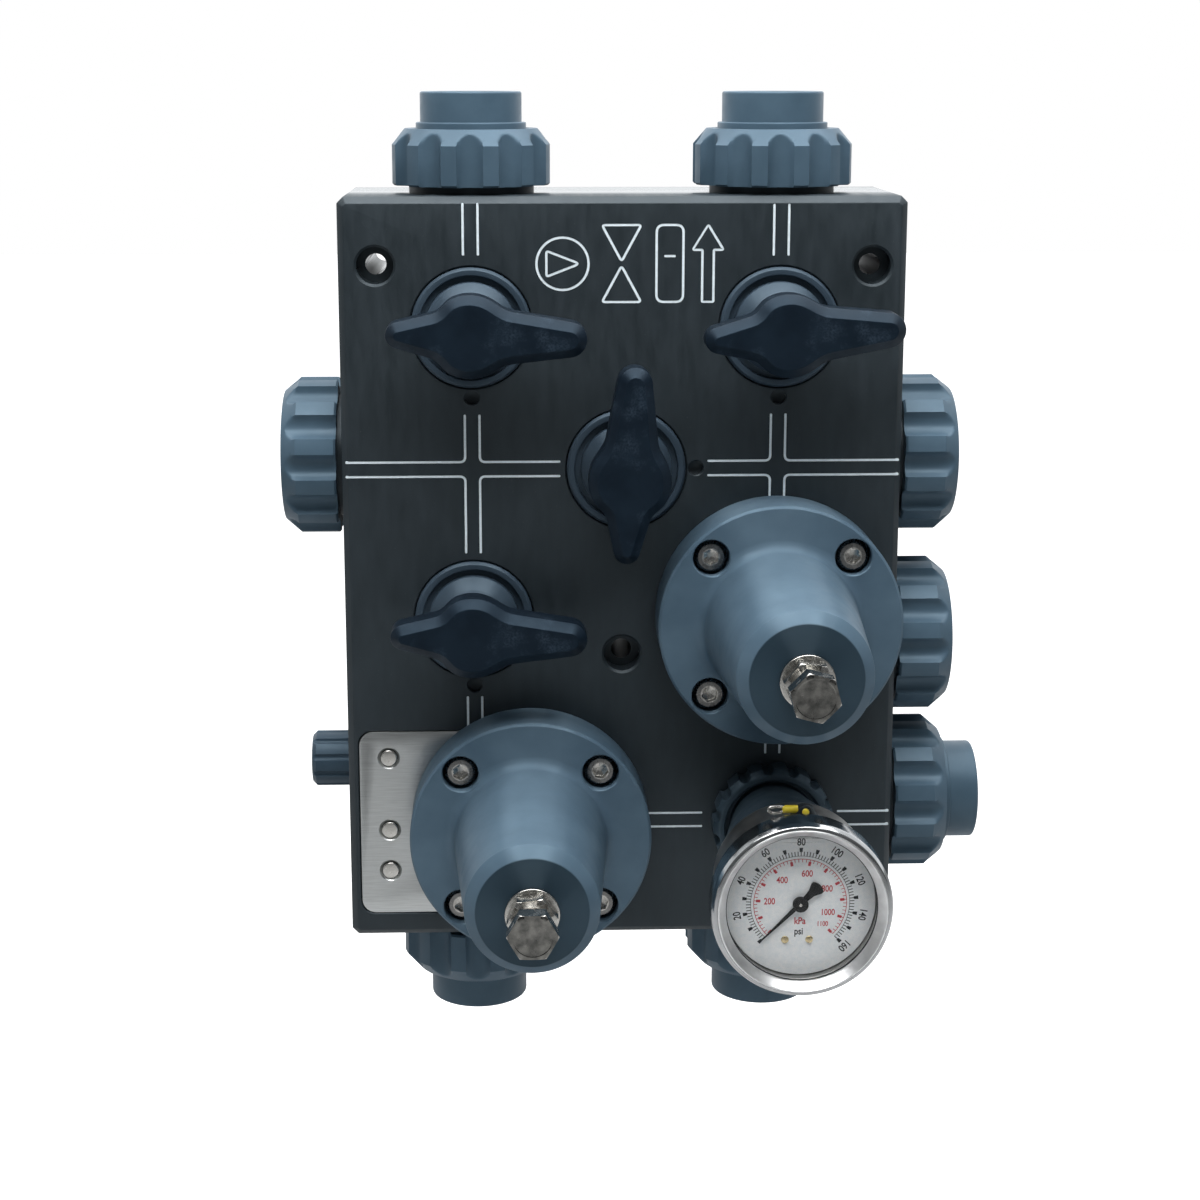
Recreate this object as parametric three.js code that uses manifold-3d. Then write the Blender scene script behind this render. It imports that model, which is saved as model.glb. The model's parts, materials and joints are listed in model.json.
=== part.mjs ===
// A multiport valve for chemical dosing and pool water treatment: one machined block that carries four
// quarter-turn ball valves, two spring-loaded pressure valves and a pressure gauge on an isolator, with
// threaded unions round its edge.
//
// Millimetres, +Z up. The origin is the middle of the block's back face, which lies on a wall or panel in
// the plane y = 0, and the object faces -Y. Most pieces are placed on the block's front face, in a group
// whose x runs right, y runs up and z runs out of the face.

import * as THREE from "three";
import { mergeVertices } from "three/addons/utils/BufferGeometryUtils.js";
import Module from "manifold-3d";

const wasm = await Module();
wasm.setup();

// ---------------------------------------------------------------- driving dimensions

const GAP = 0.3; // clearance between pieces that touch
const PAST = 1; // how far a cutting tool runs past the face it opens

const BLOCK = { width: 230, height: 313, depth: 76, chamfer: 2.7 };
const MID = BLOCK.depth / 2; // every passage lies in the middle of the block's depth
const PASSAGE = 8; // radius of the flow passages
const RUN_OUT = 2; // how far a screwed hole goes on past the end of its screw
const HEX_CHAMFER_SLOPE = 1.6; // inward run for each millimetre of height on a hexagon's chamfered corners

// The grid that the valves and ports stand on, measured from the middle of the front face.
const COLUMN_LEFT = -61.5;
const COLUMN_RIGHT = 63.7;
const ROW_UPPER = 45.8;
const ROW_LOWER = -105.8;

// Number of sides of the round surfaces.
const ROUND = { large: 28, medium: 20, union: 16, small: 14, screw: 10, bore: 8, coil: 5 };

const MOUNT_HOLE = { through: 4.25, seat: 7.5, depth: 9, lead: 1 };
const MOUNT_HOLES = [
  [-100, 129],
  [101, 128.5],
  [0, -32.8],
];

// Ball valves. turn is the direction of the handle's long wing, in degrees, when the valve is shut.
const BALL_VALVES = [
  { name: "valve_1", x: COLUMN_LEFT, y: 103.9, turn: -1.7, dimple: [0, -1] },
  { name: "valve_2", x: COLUMN_RIGHT, y: 103.8, turn: 3.2, dimple: [0, -1] },
  { name: "valve_3", x: 1.5, y: ROW_UPPER, turn: 87.3, dimple: [1, 0] },
  { name: "valve_4", x: COLUMN_LEFT, y: -17.3, turn: -1.3, dimple: [0, -1] },
];
const GLAND = { radius: 24.4, pocket: 24.8, depth: 12, ring: 3.2, groove: 2.6, neck: 12.5, height: 20.6 };
const GLAND_RING = { top: 1.6, chamfer: 1.2, grooveFloor: -1.2 };
const GLAND_DOME = { edge: 2.6, shoulder: 7.5, shoulderRun: 1.5, top: 9 };
const BALL = { radius: 15, bore: 7.5, stem: 6.2, stemTop: 31.5 };
const HANDLE = { bottom: 21.5, top: 36, bevel: 3.6, hub: 16.5, long: 46, longTip: 7, short: 33, shortTip: 5.3 };
// Where each wing meets the hub, and the handles of the curve between them: along the wing, then across it.
const HUB_EDGE = 65;
const LONG_WING = { root: [17, 10.2], bend: [12.5, 10.9], rise: [11, 13.1] };
const SHORT_WING = { root: [-15.5, 8.6], bend: [-11.5, 9.4], rise: [-11, 13.1] };
const DIMPLE = { radius: 3, depth: 4, away: 28.6 };

// Spring-loaded pressure valves. turn is how far the adjusting screw's hexagon is turned, in degrees.
const PRESSURE_VALVES = [
  { name: "backpressure", x: COLUMN_RIGHT, y: -15.8, turn: 15 },
  { name: "relief", x: -38.6, y: ROW_LOWER, turn: 30 },
];
const BONNET = { flange: 50, thick: 23.5, neck: 31.5, fillet: 4, nose: 26, height: 103.5, chamfer: 4.5 };
const CHAMBER = { radius: 20.5, roof: 88, bore: 24.3, depth: 47.3 };
const CAP_SCREW = { spread: 28.8, head: 6.5, headHeight: 8, shank: 4, reach: 18, sunk: 2.5 };
const CAP_SCREW_SOCKET = { across: 6, depth: 4 };
const SCREW = { thread: 4.7, across: 17, head: 6.9, top: 127.5, tip: 67.3 };
const LOCK_NUT = { thick: 6.5 };
const WASHER = { radius: 10.5, thick: 2 };
const BUTTON = { radius: 18.5, thick: 5, boss: 9, bossHeight: 4 };
const PISTON = { radius: 23.7, bottom: -26, top: -4, recess: 17.6, floor: -18 };
const SPRING = { wire: 1.6, radius: 15, turns: 5, steps: 50 };

// Pressure gauge on its isolator.
const GAUGE = { x: COLUMN_RIGHT, y: ROW_LOWER, needleTurn: 225 };
const GUARD = { nut: 25.5, nutHeight: 12.5, flange: 20.2, spigot: 14.7, sunk: 12, neck: 18, chamber: 28, top: 66 };
const GUARD_FLUTES = { count: 15, radius: 2.6, depth: 2.2 };
const GUARD_CHAMFER = 2;
const GUARD_CONE = { shoulder: 6, from: 10, to: 60, chamfer: 1.5 };
const CASE = { radius: 31, wall: 1.7, back: 3, front: 99.7 };
const BEZEL = { radius: 34.7, back: 92, front: 106.2, opening: 28.6, lip: 101.8 };
const DIAL = { radius: 29, face: 96.5, thick: 1 };
const NEEDLE = { tip: 20.6, tail: 10.6, hub: 3, thick: 1.2, lift: 0.5 };
const NEEDLE_HALF = { tail: 2.8, neck: 1.1, middle: 0.9, tip: 0.2 };
const GLASS = { radius: 30.7, thick: 1.5 };

// Unions: a threaded spigot on the block, a fluted nut, and a tailpiece or a blank disc under it.
const SPIGOT = { radius: 26, length: 16 };
const NUT = { radius: 33, from: 3, to: 26, flutes: 12, fluteRadius: 5.8, fluteDepth: 4, lip: 23.15, lead: 6 };
const NUT_BEVEL = 5.5;
const NUT_CLEARANCE = 0.5; // round the flange and the spigot inside the nut
const BLANK_STEP = 2; // how far a blank disc stands proud of its flange
const TAIL = { flange: 26, flangeTop: 20.9, collar: 22.8, collarTop: 28.5, radius: 21, end: 41 };
const SOCKET = { radius: 16.75, depth: 22, floor: 12.5 };
const PORTS = [
  { name: "top_left", side: "top", at: COLUMN_LEFT, piped: true },
  { name: "top_right", side: "top", at: COLUMN_RIGHT, piped: true },
  { name: "bottom_left", side: "bottom", at: COLUMN_LEFT, piped: true },
  { name: "bottom_right", side: "bottom", at: COLUMN_RIGHT, piped: true },
  { name: "right_lower", side: "right", at: ROW_LOWER, piped: true },
  { name: "right_middle", side: "right", at: -34, piped: false },
  { name: "right_upper", side: "right", at: ROW_UPPER, piped: false },
  { name: "left", side: "left", at: ROW_UPPER, piped: false },
];
const DRAIN = { side: "left", at: -89, radius: 12, length: 18, thread: 8, threadDepth: 14 };
const DRAIN_GROOVES = { count: 10, radius: 1.6, depth: 1 };

// Steel plate let into the front face, cut away round the relief valve.
const PLATE = { left: -110.4, right: -55, bottom: -146.1, top: -65.8, corner: 6, thick: 3, notch: 31 };

const FINISH = {
  block: { color: 0x34383a, roughness: 0.55, metalness: 0 },
  pvc: { color: 0x5b6d7c, roughness: 0.45, metalness: 0 },
  union: { color: 0x4c6173, roughness: 0.4, metalness: 0 },
  handle: { color: 0x1d2730, roughness: 0.45, metalness: 0 },
  steel: { color: 0xb9bcbd, roughness: 0.25, metalness: 1 },
  brushed: { color: 0xa0aaac, roughness: 0.4, metalness: 1 },
  dark_steel: { color: 0x5a5854, roughness: 0.35, metalness: 1 },
  dial: { color: 0xdde3e4, roughness: 0.6, metalness: 0 },
  needle: { color: 0x0b0c0e, roughness: 0.5, metalness: 0 },
  glass: { color: 0xf4f8f9, roughness: 0.05, metalness: 0 },
};

// ---------------------------------------------------------------- making and joining shapes

// A closed solid from a geometry, with its shared vertices merged.
function solidOf(geometry) {
  const bare = geometry.clone();
  bare.deleteAttribute("normal");
  bare.deleteAttribute("uv");
  const merged = mergeVertices(bare);
  return new wasm.Manifold(
    new wasm.Mesh({
      numProp: 3,
      vertProperties: merged.attributes.position.array,
      triVerts: new Uint32Array(merged.index.array),
    }),
  );
}

function geometryOf(solid) {
  const mesh = solid.getMesh();
  return new THREE.BufferGeometry()
    .setAttribute("position", new THREE.BufferAttribute(mesh.vertProperties, 3))
    .setIndex(new THREE.BufferAttribute(mesh.triVerts, 1));
}

function join(...pieces) {
  return geometryOf(pieces.map(solidOf).reduce((all, one) => all.add(one)));
}

function cut(base, ...tools) {
  return geometryOf(tools.map(solidOf).reduce((all, one) => all.subtract(one), solidOf(base)));
}

function common(first, second) {
  return geometryOf(solidOf(first).intersect(solidOf(second)));
}

// A solid turned about z. The profile lists [radius, height], up the outside and, for a ring, down the
// inside and back to its first point.
function turned(profile, sides) {
  const closed = profile[0][0] > 0 ? [...profile, profile[0]] : profile;
  const points = closed.map(([radius, height]) => new THREE.Vector2(radius, height));
  return new THREE.LatheGeometry(points, sides).rotateX(Math.PI / 2);
}

function rod(radius, from, to, sides) {
  return turned(
    [
      [0, from],
      [radius, from],
      [radius, to],
      [0, to],
    ],
    sides,
  );
}

function tube(outer, inner, from, to, sides) {
  return turned(
    [
      [inner, from],
      [outer, from],
      [outer, to],
      [inner, to],
    ],
    sides,
  );
}

// A hexagon's corner radius from its width across flats.
const cornerRadius = (across) => across / Math.sqrt(3);

// A hexagonal prism whose outer corners are chamfered at the end named.
function hexagon(across, from, to, chamfer = 1) {
  const corner = cornerRadius(across);
  return turned(
    [
      [0, from],
      [corner, from],
      [corner, to - chamfer],
      [corner - HEX_CHAMFER_SLOPE * chamfer, to],
      [0, to],
    ],
    6,
  );
}

// The outline of a round knob with flutes hollowed out of its rim, counterclockwise.
function flutedOutline(radius, flutes, fluteRadius, fluteDepth) {
  const centre = radius + fluteRadius - fluteDepth;
  const along = (radius ** 2 - fluteRadius ** 2 + centre ** 2) / (2 * centre);
  const across = Math.sqrt(radius ** 2 - along ** 2);
  const half = Math.atan2(across, centre - along);
  const outline = new THREE.Shape();
  for (let flute = 0; flute < flutes; flute++) {
    const turn = (flute * 2 * Math.PI) / flutes;
    const inward = turn + Math.PI;
    const x = centre * Math.cos(turn);
    const y = centre * Math.sin(turn);
    outline.absarc(x, y, fluteRadius, inward + half, inward - half, true);
  }
  return outline;
}

function extruded(outline, from, to, curveSegments = 1) {
  const settings = { depth: to - from, bevelEnabled: false, curveSegments };
  return new THREE.ExtrudeGeometry(outline, settings).translate(0, 0, from);
}

function piece(name, geometry, finish) {
  const mesh = new THREE.Mesh(geometry, new THREE.MeshStandardMaterial(finish));
  mesh.name = name;
  return mesh;
}

const radians = THREE.MathUtils.degToRad;

// ---------------------------------------------------------------- the block

// Where a port opens on the block's side, with z running out of the block.
const SIDES = {
  top: { rotation: [-Math.PI / 2, 0, 0], place: (at) => [at, BLOCK.height / 2, -MID] },
  bottom: { rotation: [Math.PI / 2, 0, 0], place: (at) => [at, -BLOCK.height / 2, -MID] },
  left: { rotation: [0, -Math.PI / 2, 0], place: (at) => [-BLOCK.width / 2, at, -MID] },
  right: { rotation: [0, Math.PI / 2, 0], place: (at) => [BLOCK.width / 2, at, -MID] },
};

function portGroup({ side, at }) {
  const group = new THREE.Group();
  group.rotation.set(...SIDES[side].rotation);
  group.position.set(...SIDES[side].place(at));
  return group;
}

// Moves a geometry drawn in a port's own directions onto the block.
function atPort(port, geometry) {
  const group = portGroup(port);
  group.updateMatrix();
  return geometry.applyMatrix4(group.matrix);
}

// A passage that runs inwards from a port to the given depth, open at its outer end.
function passage(port, radius, depth) {
  return atPort(port, rod(radius, -depth, SPIGOT.length + PAST, ROUND.bore));
}

// The block's front outline, with its four corners chamfered.
function blockOutline() {
  const x = BLOCK.width / 2;
  const y = BLOCK.height / 2;
  const c = BLOCK.chamfer;
  return new THREE.Shape([
    new THREE.Vector2(x - c, -y),
    new THREE.Vector2(x, c - y),
    new THREE.Vector2(x, y - c),
    new THREE.Vector2(x - c, y),
    new THREE.Vector2(c - x, y),
    new THREE.Vector2(-x, y - c),
    new THREE.Vector2(-x, c - y),
    new THREE.Vector2(c - x, -y),
  ]);
}

function blockBody() {
  const c = BLOCK.chamfer;
  const settings = {
    depth: BLOCK.depth - 2 * c,
    bevelThickness: c,
    bevelSize: c,
    bevelOffset: -c,
    bevelSegments: 1,
  };
  return new THREE.ExtrudeGeometry(blockOutline(), settings).translate(0, 0, c - BLOCK.depth);
}

// The steel plate's outline, or its pocket's, which is larger all round by grow.
function plateOutline(grow) {
  const left = PLATE.left - grow;
  const right = PLATE.right + grow;
  const bottom = PLATE.bottom - grow;
  const top = PLATE.top + grow;
  const r = PLATE.corner;
  const outline = new THREE.Shape();
  outline.absarc(right - r, bottom + r, r, -Math.PI / 2, 0, false);
  outline.absarc(right - r, top - r, r, 0, Math.PI / 2, false);
  outline.absarc(left + r, top - r, r, Math.PI / 2, Math.PI, false);
  outline.absarc(left + r, bottom + r, r, Math.PI, 1.5 * Math.PI, false);
  return outline;
}

function platePocket(grow, from, to) {
  const relief = PRESSURE_VALVES[1];
  const notch = rod(PLATE.notch - grow, from - PAST, to + PAST, ROUND.large);
  return cut(extruded(plateOutline(grow), from, to, 2), notch.translate(relief.x, relief.y, 0));
}

const SCREW_SIGNS = [
  [-1, 1],
  [1, 1],
  [1, -1],
  [-1, -1],
];

// The four cap screws' places on a pressure valve's flange, on the front face.
function capScrewPlaces(valve) {
  return SCREW_SIGNS.map(([sx, sy]) => [valve.x + sx * CAP_SCREW.spread, valve.y + sy * CAP_SCREW.spread]);
}

function mountHole([x, y]) {
  const { through, seat, depth, lead } = MOUNT_HOLE;
  return turned(
    [
      [0, -BLOCK.depth - PAST],
      [through, -BLOCK.depth - PAST],
      [through, -depth],
      [seat, -depth],
      [seat, -lead],
      [seat + lead + PAST, PAST],
      [0, PAST],
    ],
    ROUND.small,
  ).translate(x, y, 0);
}

function ballValveTools({ x, y, dimple }) {
  const pocket = rod(GLAND.pocket, -GLAND.depth, PAST, ROUND.medium);
  const cavity = rod(BALL.radius + GAP, -MID - BALL.radius - GAP, 0, ROUND.medium);
  const mark = rod(DIMPLE.radius, -DIMPLE.depth, PAST, ROUND.bore);
  mark.translate(dimple[0] * DIMPLE.away, dimple[1] * DIMPLE.away, 0);
  return [pocket, cavity, mark].map((tool) => tool.translate(x, y, 0));
}

function pressureValveTools(valve) {
  const chamber = rod(CHAMBER.bore, -CHAMBER.depth, PAST, ROUND.medium).translate(valve.x, valve.y, 0);
  const holes = capScrewPlaces(valve).map(([x, y]) =>
    rod(CAP_SCREW.shank + GAP, -CAP_SCREW.reach - RUN_OUT, PAST, ROUND.screw).translate(x, y, 0),
  );
  return [chamber, ...holes];
}

function manifoldBlock() {
  const [topLeft, topRight, , , rightLower, rightMiddle, rightUpper] = PORTS;
  const spigots = PORTS.map((port) => atPort(port, rod(SPIGOT.radius, -PAST, SPIGOT.length, ROUND.union)));
  const gaugeBore = rod(GUARD.spigot + GAP, -GUARD.sunk - RUN_OUT, PAST, ROUND.medium);
  const gaugeFeed = rod(PASSAGE / 2, -MID, PAST, ROUND.bore);
  const tools = [
    passage(topLeft, PASSAGE, BLOCK.height + SPIGOT.length + PAST),
    passage(topRight, PASSAGE, BLOCK.height + SPIGOT.length + PAST),
    passage(rightUpper, PASSAGE, BLOCK.width + SPIGOT.length + PAST),
    passage(rightLower, PASSAGE, BLOCK.width / 2 - PRESSURE_VALVES[1].x),
    passage(rightMiddle, PASSAGE, BLOCK.width / 2 - PRESSURE_VALVES[0].x),
    atPort(DRAIN, rod(PASSAGE / 2, -(BLOCK.width / 2 + COLUMN_LEFT), PAST, ROUND.bore)),
    atPort(DRAIN, rod(DRAIN.thread + GAP, -DRAIN.threadDepth - RUN_OUT, PAST, ROUND.small)),
    gaugeBore.translate(GAUGE.x, GAUGE.y, 0),
    gaugeFeed.translate(GAUGE.x, GAUGE.y, 0),
    platePocket(GAP, -PLATE.thick - GAP, PAST),
    ...MOUNT_HOLES.map(mountHole),
    ...BALL_VALVES.flatMap(ballValveTools),
    ...PRESSURE_VALVES.flatMap(pressureValveTools),
  ];
  return piece("manifold_block", cut(join(blockBody(), ...spigots), ...tools), FINISH.block);
}

function namePlate() {
  const leftScrews = capScrewPlaces(PRESSURE_VALVES[1]).filter(([x]) => x < PLATE.right);
  const holes = leftScrews.map(([x, y]) =>
    rod(CAP_SCREW.shank + 0.5, -PLATE.thick - PAST, PAST, ROUND.screw).translate(x, y, 0),
  );
  return piece("name_plate", cut(platePocket(0, -PLATE.thick, 0), ...holes), FINISH.brushed);
}

// ---------------------------------------------------------------- ball valves

// A two-winged handle seen from the front, with its long wing along +x.
function handleOutline() {
  const { hub, long, longTip, short, shortTip } = HANDLE;
  const edge = radians(HUB_EDGE);
  const hubCorner = [hub * Math.cos(edge), hub * Math.sin(edge)];
  const flipX = ([x, y]) => [-x, y];
  const flipY = ([x, y]) => [x, -y];
  const outline = new THREE.Shape();
  const bend = (...points) => outline.bezierCurveTo(...points.flat());
  outline.absarc(long - longTip, 0, longTip, -Math.PI / 2, Math.PI / 2, false);
  outline.lineTo(...LONG_WING.root);
  bend(LONG_WING.bend, LONG_WING.rise, hubCorner);
  outline.absarc(0, 0, hub, edge, Math.PI - edge, false);
  bend(SHORT_WING.rise, SHORT_WING.bend, SHORT_WING.root);
  outline.absarc(shortTip - short, 0, shortTip, Math.PI / 2, 1.5 * Math.PI, false);
  outline.lineTo(...flipY(SHORT_WING.root));
  bend(flipY(SHORT_WING.bend), flipY(SHORT_WING.rise), flipX(flipY(hubCorner)));
  outline.absarc(0, 0, hub, Math.PI + edge, 2 * Math.PI - edge, false);
  bend(flipY(LONG_WING.rise), flipY(LONG_WING.bend), flipY(LONG_WING.root));
  return outline;
}

// The handle is bevelled on its outer face only, and hollowed for the stem from below.
function handleSolid() {
  const { bottom, top, bevel } = HANDLE;
  const settings = {
    depth: top - bottom,
    bevelThickness: bevel,
    bevelSize: bevel,
    bevelOffset: -bevel,
    bevelSegments: 1,
    curveSegments: 3,
  };
  const blank = new THREE.ExtrudeGeometry(handleOutline(), settings).translate(0, 0, bottom - bevel);
  const below = new THREE.BoxGeometry(3 * HANDLE.long, HANDLE.long, 2 * bevel);
  const pocket = rod(BALL.stem + GAP, bottom - PAST, BALL.stemTop + GAP, ROUND.small);
  return cut(blank, below.translate(0, 0, bottom - bevel), pocket);
}

function glandSolid() {
  const { radius, depth, ring, groove, neck, height } = GLAND;
  const { top, chamfer, grooveFloor } = GLAND_RING;
  const dome = radius - ring - groove;
  return turned(
    [
      [BALL.stem + GAP, GAP - depth],
      [radius, GAP - depth],
      [radius, top - chamfer],
      [radius - chamfer, top],
      [radius - ring, top],
      [radius - ring, grooveFloor],
      [dome, grooveFloor],
      [dome, GLAND_DOME.edge],
      [neck + GLAND_DOME.shoulderRun, GLAND_DOME.shoulder],
      [neck, GLAND_DOME.top],
      [neck, height],
      [BALL.stem + GAP, height],
    ],
    ROUND.small,
  );
}

// A bored ball on its stem. The bore runs the way the handle's wings point.
function ballSolid() {
  const ball = new THREE.SphereGeometry(BALL.radius, 12, 8).translate(0, 0, -MID);
  const bore = rod(BALL.bore, -BALL.radius - PAST, BALL.radius + PAST, ROUND.bore).rotateY(Math.PI / 2);
  const stem = rod(BALL.stem, BALL.bore + 2 - MID, BALL.stemTop, ROUND.small);
  return join(cut(ball, bore.translate(0, 0, -MID)), stem);
}

function ballValve({ name, x, y, turn }) {
  const valve = new THREE.Group();
  valve.position.set(x, y, 0);
  valve.add(piece(name + "_gland", glandSolid(), FINISH.pvc));
  const turning = new THREE.Group();
  turning.rotation.z = radians(turn);
  turning.add(piece(name + "_handle", handleSolid(), FINISH.handle));
  turning.add(piece(name + "_ball_stem", ballSolid(), FINISH.pvc));
  valve.add(turning);
  return valve;
}

// ---------------------------------------------------------------- pressure valves

// The spring housing: a bolted flange, a tapering neck and a chamfered nose, hollow for the spring.
function bonnetSolid() {
  const { flange, thick, neck, fillet, nose, height, chamfer } = BONNET;
  const hole = SCREW.thread + GAP;
  const body = turned(
    [
      [CHAMBER.radius, GAP],
      [flange, GAP],
      [flange, thick - 1],
      [flange - 1, thick],
      [neck + fillet, thick],
      [neck + fillet * 0.3, thick + fillet * 0.3],
      [neck, thick + fillet],
      [nose, height - chamfer],
      [nose - chamfer, height],
      [hole, height],
      [hole, CHAMBER.roof],
      [CHAMBER.radius, CHAMBER.roof],
    ],
    ROUND.large,
  );
  const seat = thick - CAP_SCREW.sunk - CAP_SCREW.headHeight - GAP;
  const holes = capScrewPlaces({ x: 0, y: 0 }).flatMap(([x, y]) =>
    [
      rod(CAP_SCREW.head + 1, seat, thick + 2 * fillet, ROUND.screw),
      rod(CAP_SCREW.shank + GAP, -PAST, thick, ROUND.screw),
    ].map((tool) => tool.translate(x, y, 0)),
  );
  return cut(body, ...holes);
}

function capScrewSolid() {
  const { head, headHeight, shank, reach, sunk } = CAP_SCREW;
  const { across, depth } = CAP_SCREW_SOCKET;
  const top = BONNET.thick - sunk;
  const body = turned(
    [
      [0, -reach],
      [shank, -reach],
      [shank, top - headHeight],
      [head, top - headHeight],
      [head, top - 0.6],
      [head - 0.6, top],
      [0, top],
    ],
    ROUND.screw,
  );
  return cut(body, rod(cornerRadius(across), top - depth, top + PAST, 6));
}

class Helix extends THREE.Curve {
  constructor(radius, turns, from, to) {
    super();
    Object.assign(this, { radius, turns, from, to });
  }

  getPoint(t, target = new THREE.Vector3()) {
    const turn = 2 * Math.PI * this.turns * t;
    const height = THREE.MathUtils.lerp(this.from, this.to, t);
    return target.set(this.radius * Math.cos(turn), this.radius * Math.sin(turn), height);
  }
}

// A coil spring that fills the room between the piston and the spring button.
function springSolid() {
  const { wire, radius, turns, steps } = SPRING;
  const room = wire + 2 * GAP;
  const route = new Helix(radius, turns, PISTON.floor + room, SCREW.tip - GAP - BUTTON.thick - room);
  const section = new THREE.Shape();
  for (let side = 0; side < ROUND.coil; side++) {
    const angle = (side * 2 * Math.PI) / ROUND.coil;
    const corner = [wire * Math.cos(angle), wire * Math.sin(angle)];
    if (side === 0) section.moveTo(...corner);
    else section.lineTo(...corner);
  }
  return new THREE.ExtrudeGeometry(section, { steps, extrudePath: route, bevelEnabled: false });
}

function buttonSolid() {
  const { radius, thick, boss, bossHeight } = BUTTON;
  const top = SCREW.tip - GAP;
  return turned(
    [
      [0, top - thick - bossHeight],
      [boss, top - thick - bossHeight],
      [boss, top - thick],
      [radius, top - thick],
      [radius, top],
      [0, top],
    ],
    ROUND.small,
  );
}

function pistonSolid() {
  const { radius, bottom, top, recess, floor } = PISTON;
  return turned(
    [
      [0, bottom],
      [radius, bottom],
      [radius, top],
      [recess, top],
      [recess, floor],
      [0, floor],
    ],
    ROUND.medium,
  );
}

function adjustingScrewSolid() {
  const { thread, across, head, top, tip } = SCREW;
  return join(hexagon(across, top - head, top), rod(thread, tip, top - head + PAST, ROUND.screw));
}

function pressureValve({ name, x, y, turn }) {
  const washerTop = BONNET.height + GAP + WASHER.thick;
  const nutFrom = washerTop + GAP;
  const bore = SCREW.thread + GAP;
  const washer = tube(WASHER.radius, bore, BONNET.height + GAP, washerTop, ROUND.small);
  const nutBlank = hexagon(SCREW.across, nutFrom, nutFrom + LOCK_NUT.thick);
  const nut = cut(nutBlank, rod(bore, nutFrom - PAST, nutFrom + LOCK_NUT.thick + PAST, ROUND.screw));
  const valve = new THREE.Group();
  valve.position.set(x, y, 0);
  valve.add(piece(name + "_bonnet", bonnetSolid(), FINISH.pvc));
  valve.add(piece(name + "_washer", washer, FINISH.steel));
  valve.add(piece(name + "_spring", springSolid(), FINISH.steel));
  valve.add(piece(name + "_spring_button", buttonSolid(), FINISH.steel));
  valve.add(piece(name + "_piston", pistonSolid(), FINISH.pvc));
  const turning = new THREE.Group();
  turning.rotation.z = radians(turn);
  turning.add(piece(name + "_lock_nut", nut, FINISH.steel));
  turning.add(piece(name + "_adjusting_screw", adjustingScrewSolid(), FINISH.steel));
  valve.add(turning);
  capScrewPlaces({ x: 0, y: 0 }).forEach(([sx, sy], index) => {
    const screw = piece(name + "_cap_screw_" + (index + 1), capScrewSolid(), FINISH.dark_steel);
    screw.position.set(sx, sy, 0);
    valve.add(screw);
  });
  return valve;
}

// ---------------------------------------------------------------- gauge

function guardBodySolid() {
  const { flange, spigot, sunk, neck, chamber, top } = GUARD;
  const { shoulder, from, to, chamfer } = GUARD_CONE;
  return turned(
    [
      [0, -sunk],
      [spigot, -sunk],
      [spigot, GAP],
      [flange, GAP],
      [flange, shoulder],
      [neck, shoulder],
      [neck, from],
      [chamber, to],
      [chamber, top - chamfer],
      [chamber - chamfer, top],
      [0, top],
    ],
    ROUND.medium,
  );
}

// A fluted ring, chamfered round its front.
function guardNutSolid() {
  const { nut, nutHeight, flange } = GUARD;
  const { count, radius, depth } = GUARD_FLUTES;
  const blank = extruded(flutedOutline(nut, count, radius, depth), GAP, nutHeight);
  const envelope = turned(
    [
      [flange + GAP, GAP - PAST],
      [nut + PAST, GAP - PAST],
      [nut + PAST, nutHeight - GUARD_CHAMFER - PAST],
      [nut - GUARD_CHAMFER, nutHeight],
      [flange + GAP, nutHeight],
    ],
    ROUND.medium,
  );
  return common(blank, envelope);
}

function caseSolid() {
  const { radius, wall, back, front } = CASE;
  const from = GUARD.top + GAP;
  return turned(
    [
      [0, from],
      [radius, from],
      [radius, front],
      [radius - wall, front],
      [radius - wall, from + back],
      [0, from + back],
    ],
    ROUND.medium,
  );
}

function bezelSolid() {
  const { radius, back, front, opening, lip } = BEZEL;
  const bore = CASE.radius + GAP;
  return turned(
    [
      [bore, back],
      [radius - 0.8, back],
      [radius, back + 1],
      [radius, front - 3],
      [radius - 1.1, front - 0.7],
      [radius - 2.4, front],
      [radius - 3.4, front - 0.8],
      [opening, lip + 0.8],
      [opening, lip],
      [bore, lip],
    ],
    ROUND.medium,
  );
}

// A needle with a round hub and a wide tail, pointing along +x.
function needleSolid() {
  const { tip, tail, hub, thick, lift } = NEEDLE;
  const from = DIAL.face + lift;
  const upperEdge = [
    [tip, NEEDLE_HALF.tip],
    [0, NEEDLE_HALF.middle],
    [-hub, NEEDLE_HALF.neck],
    [-tail, NEEDLE_HALF.tail],
  ];
  const lowerEdge = upperEdge.map(([x, y]) => [x, -y]).reverse();
  const blade = new THREE.Shape([...upperEdge, ...lowerEdge].map(([x, y]) => new THREE.Vector2(x, y)));
  return join(extruded(blade, from, from + thick), rod(hub, from, from + 1.5 * thick, ROUND.small));
}

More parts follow.
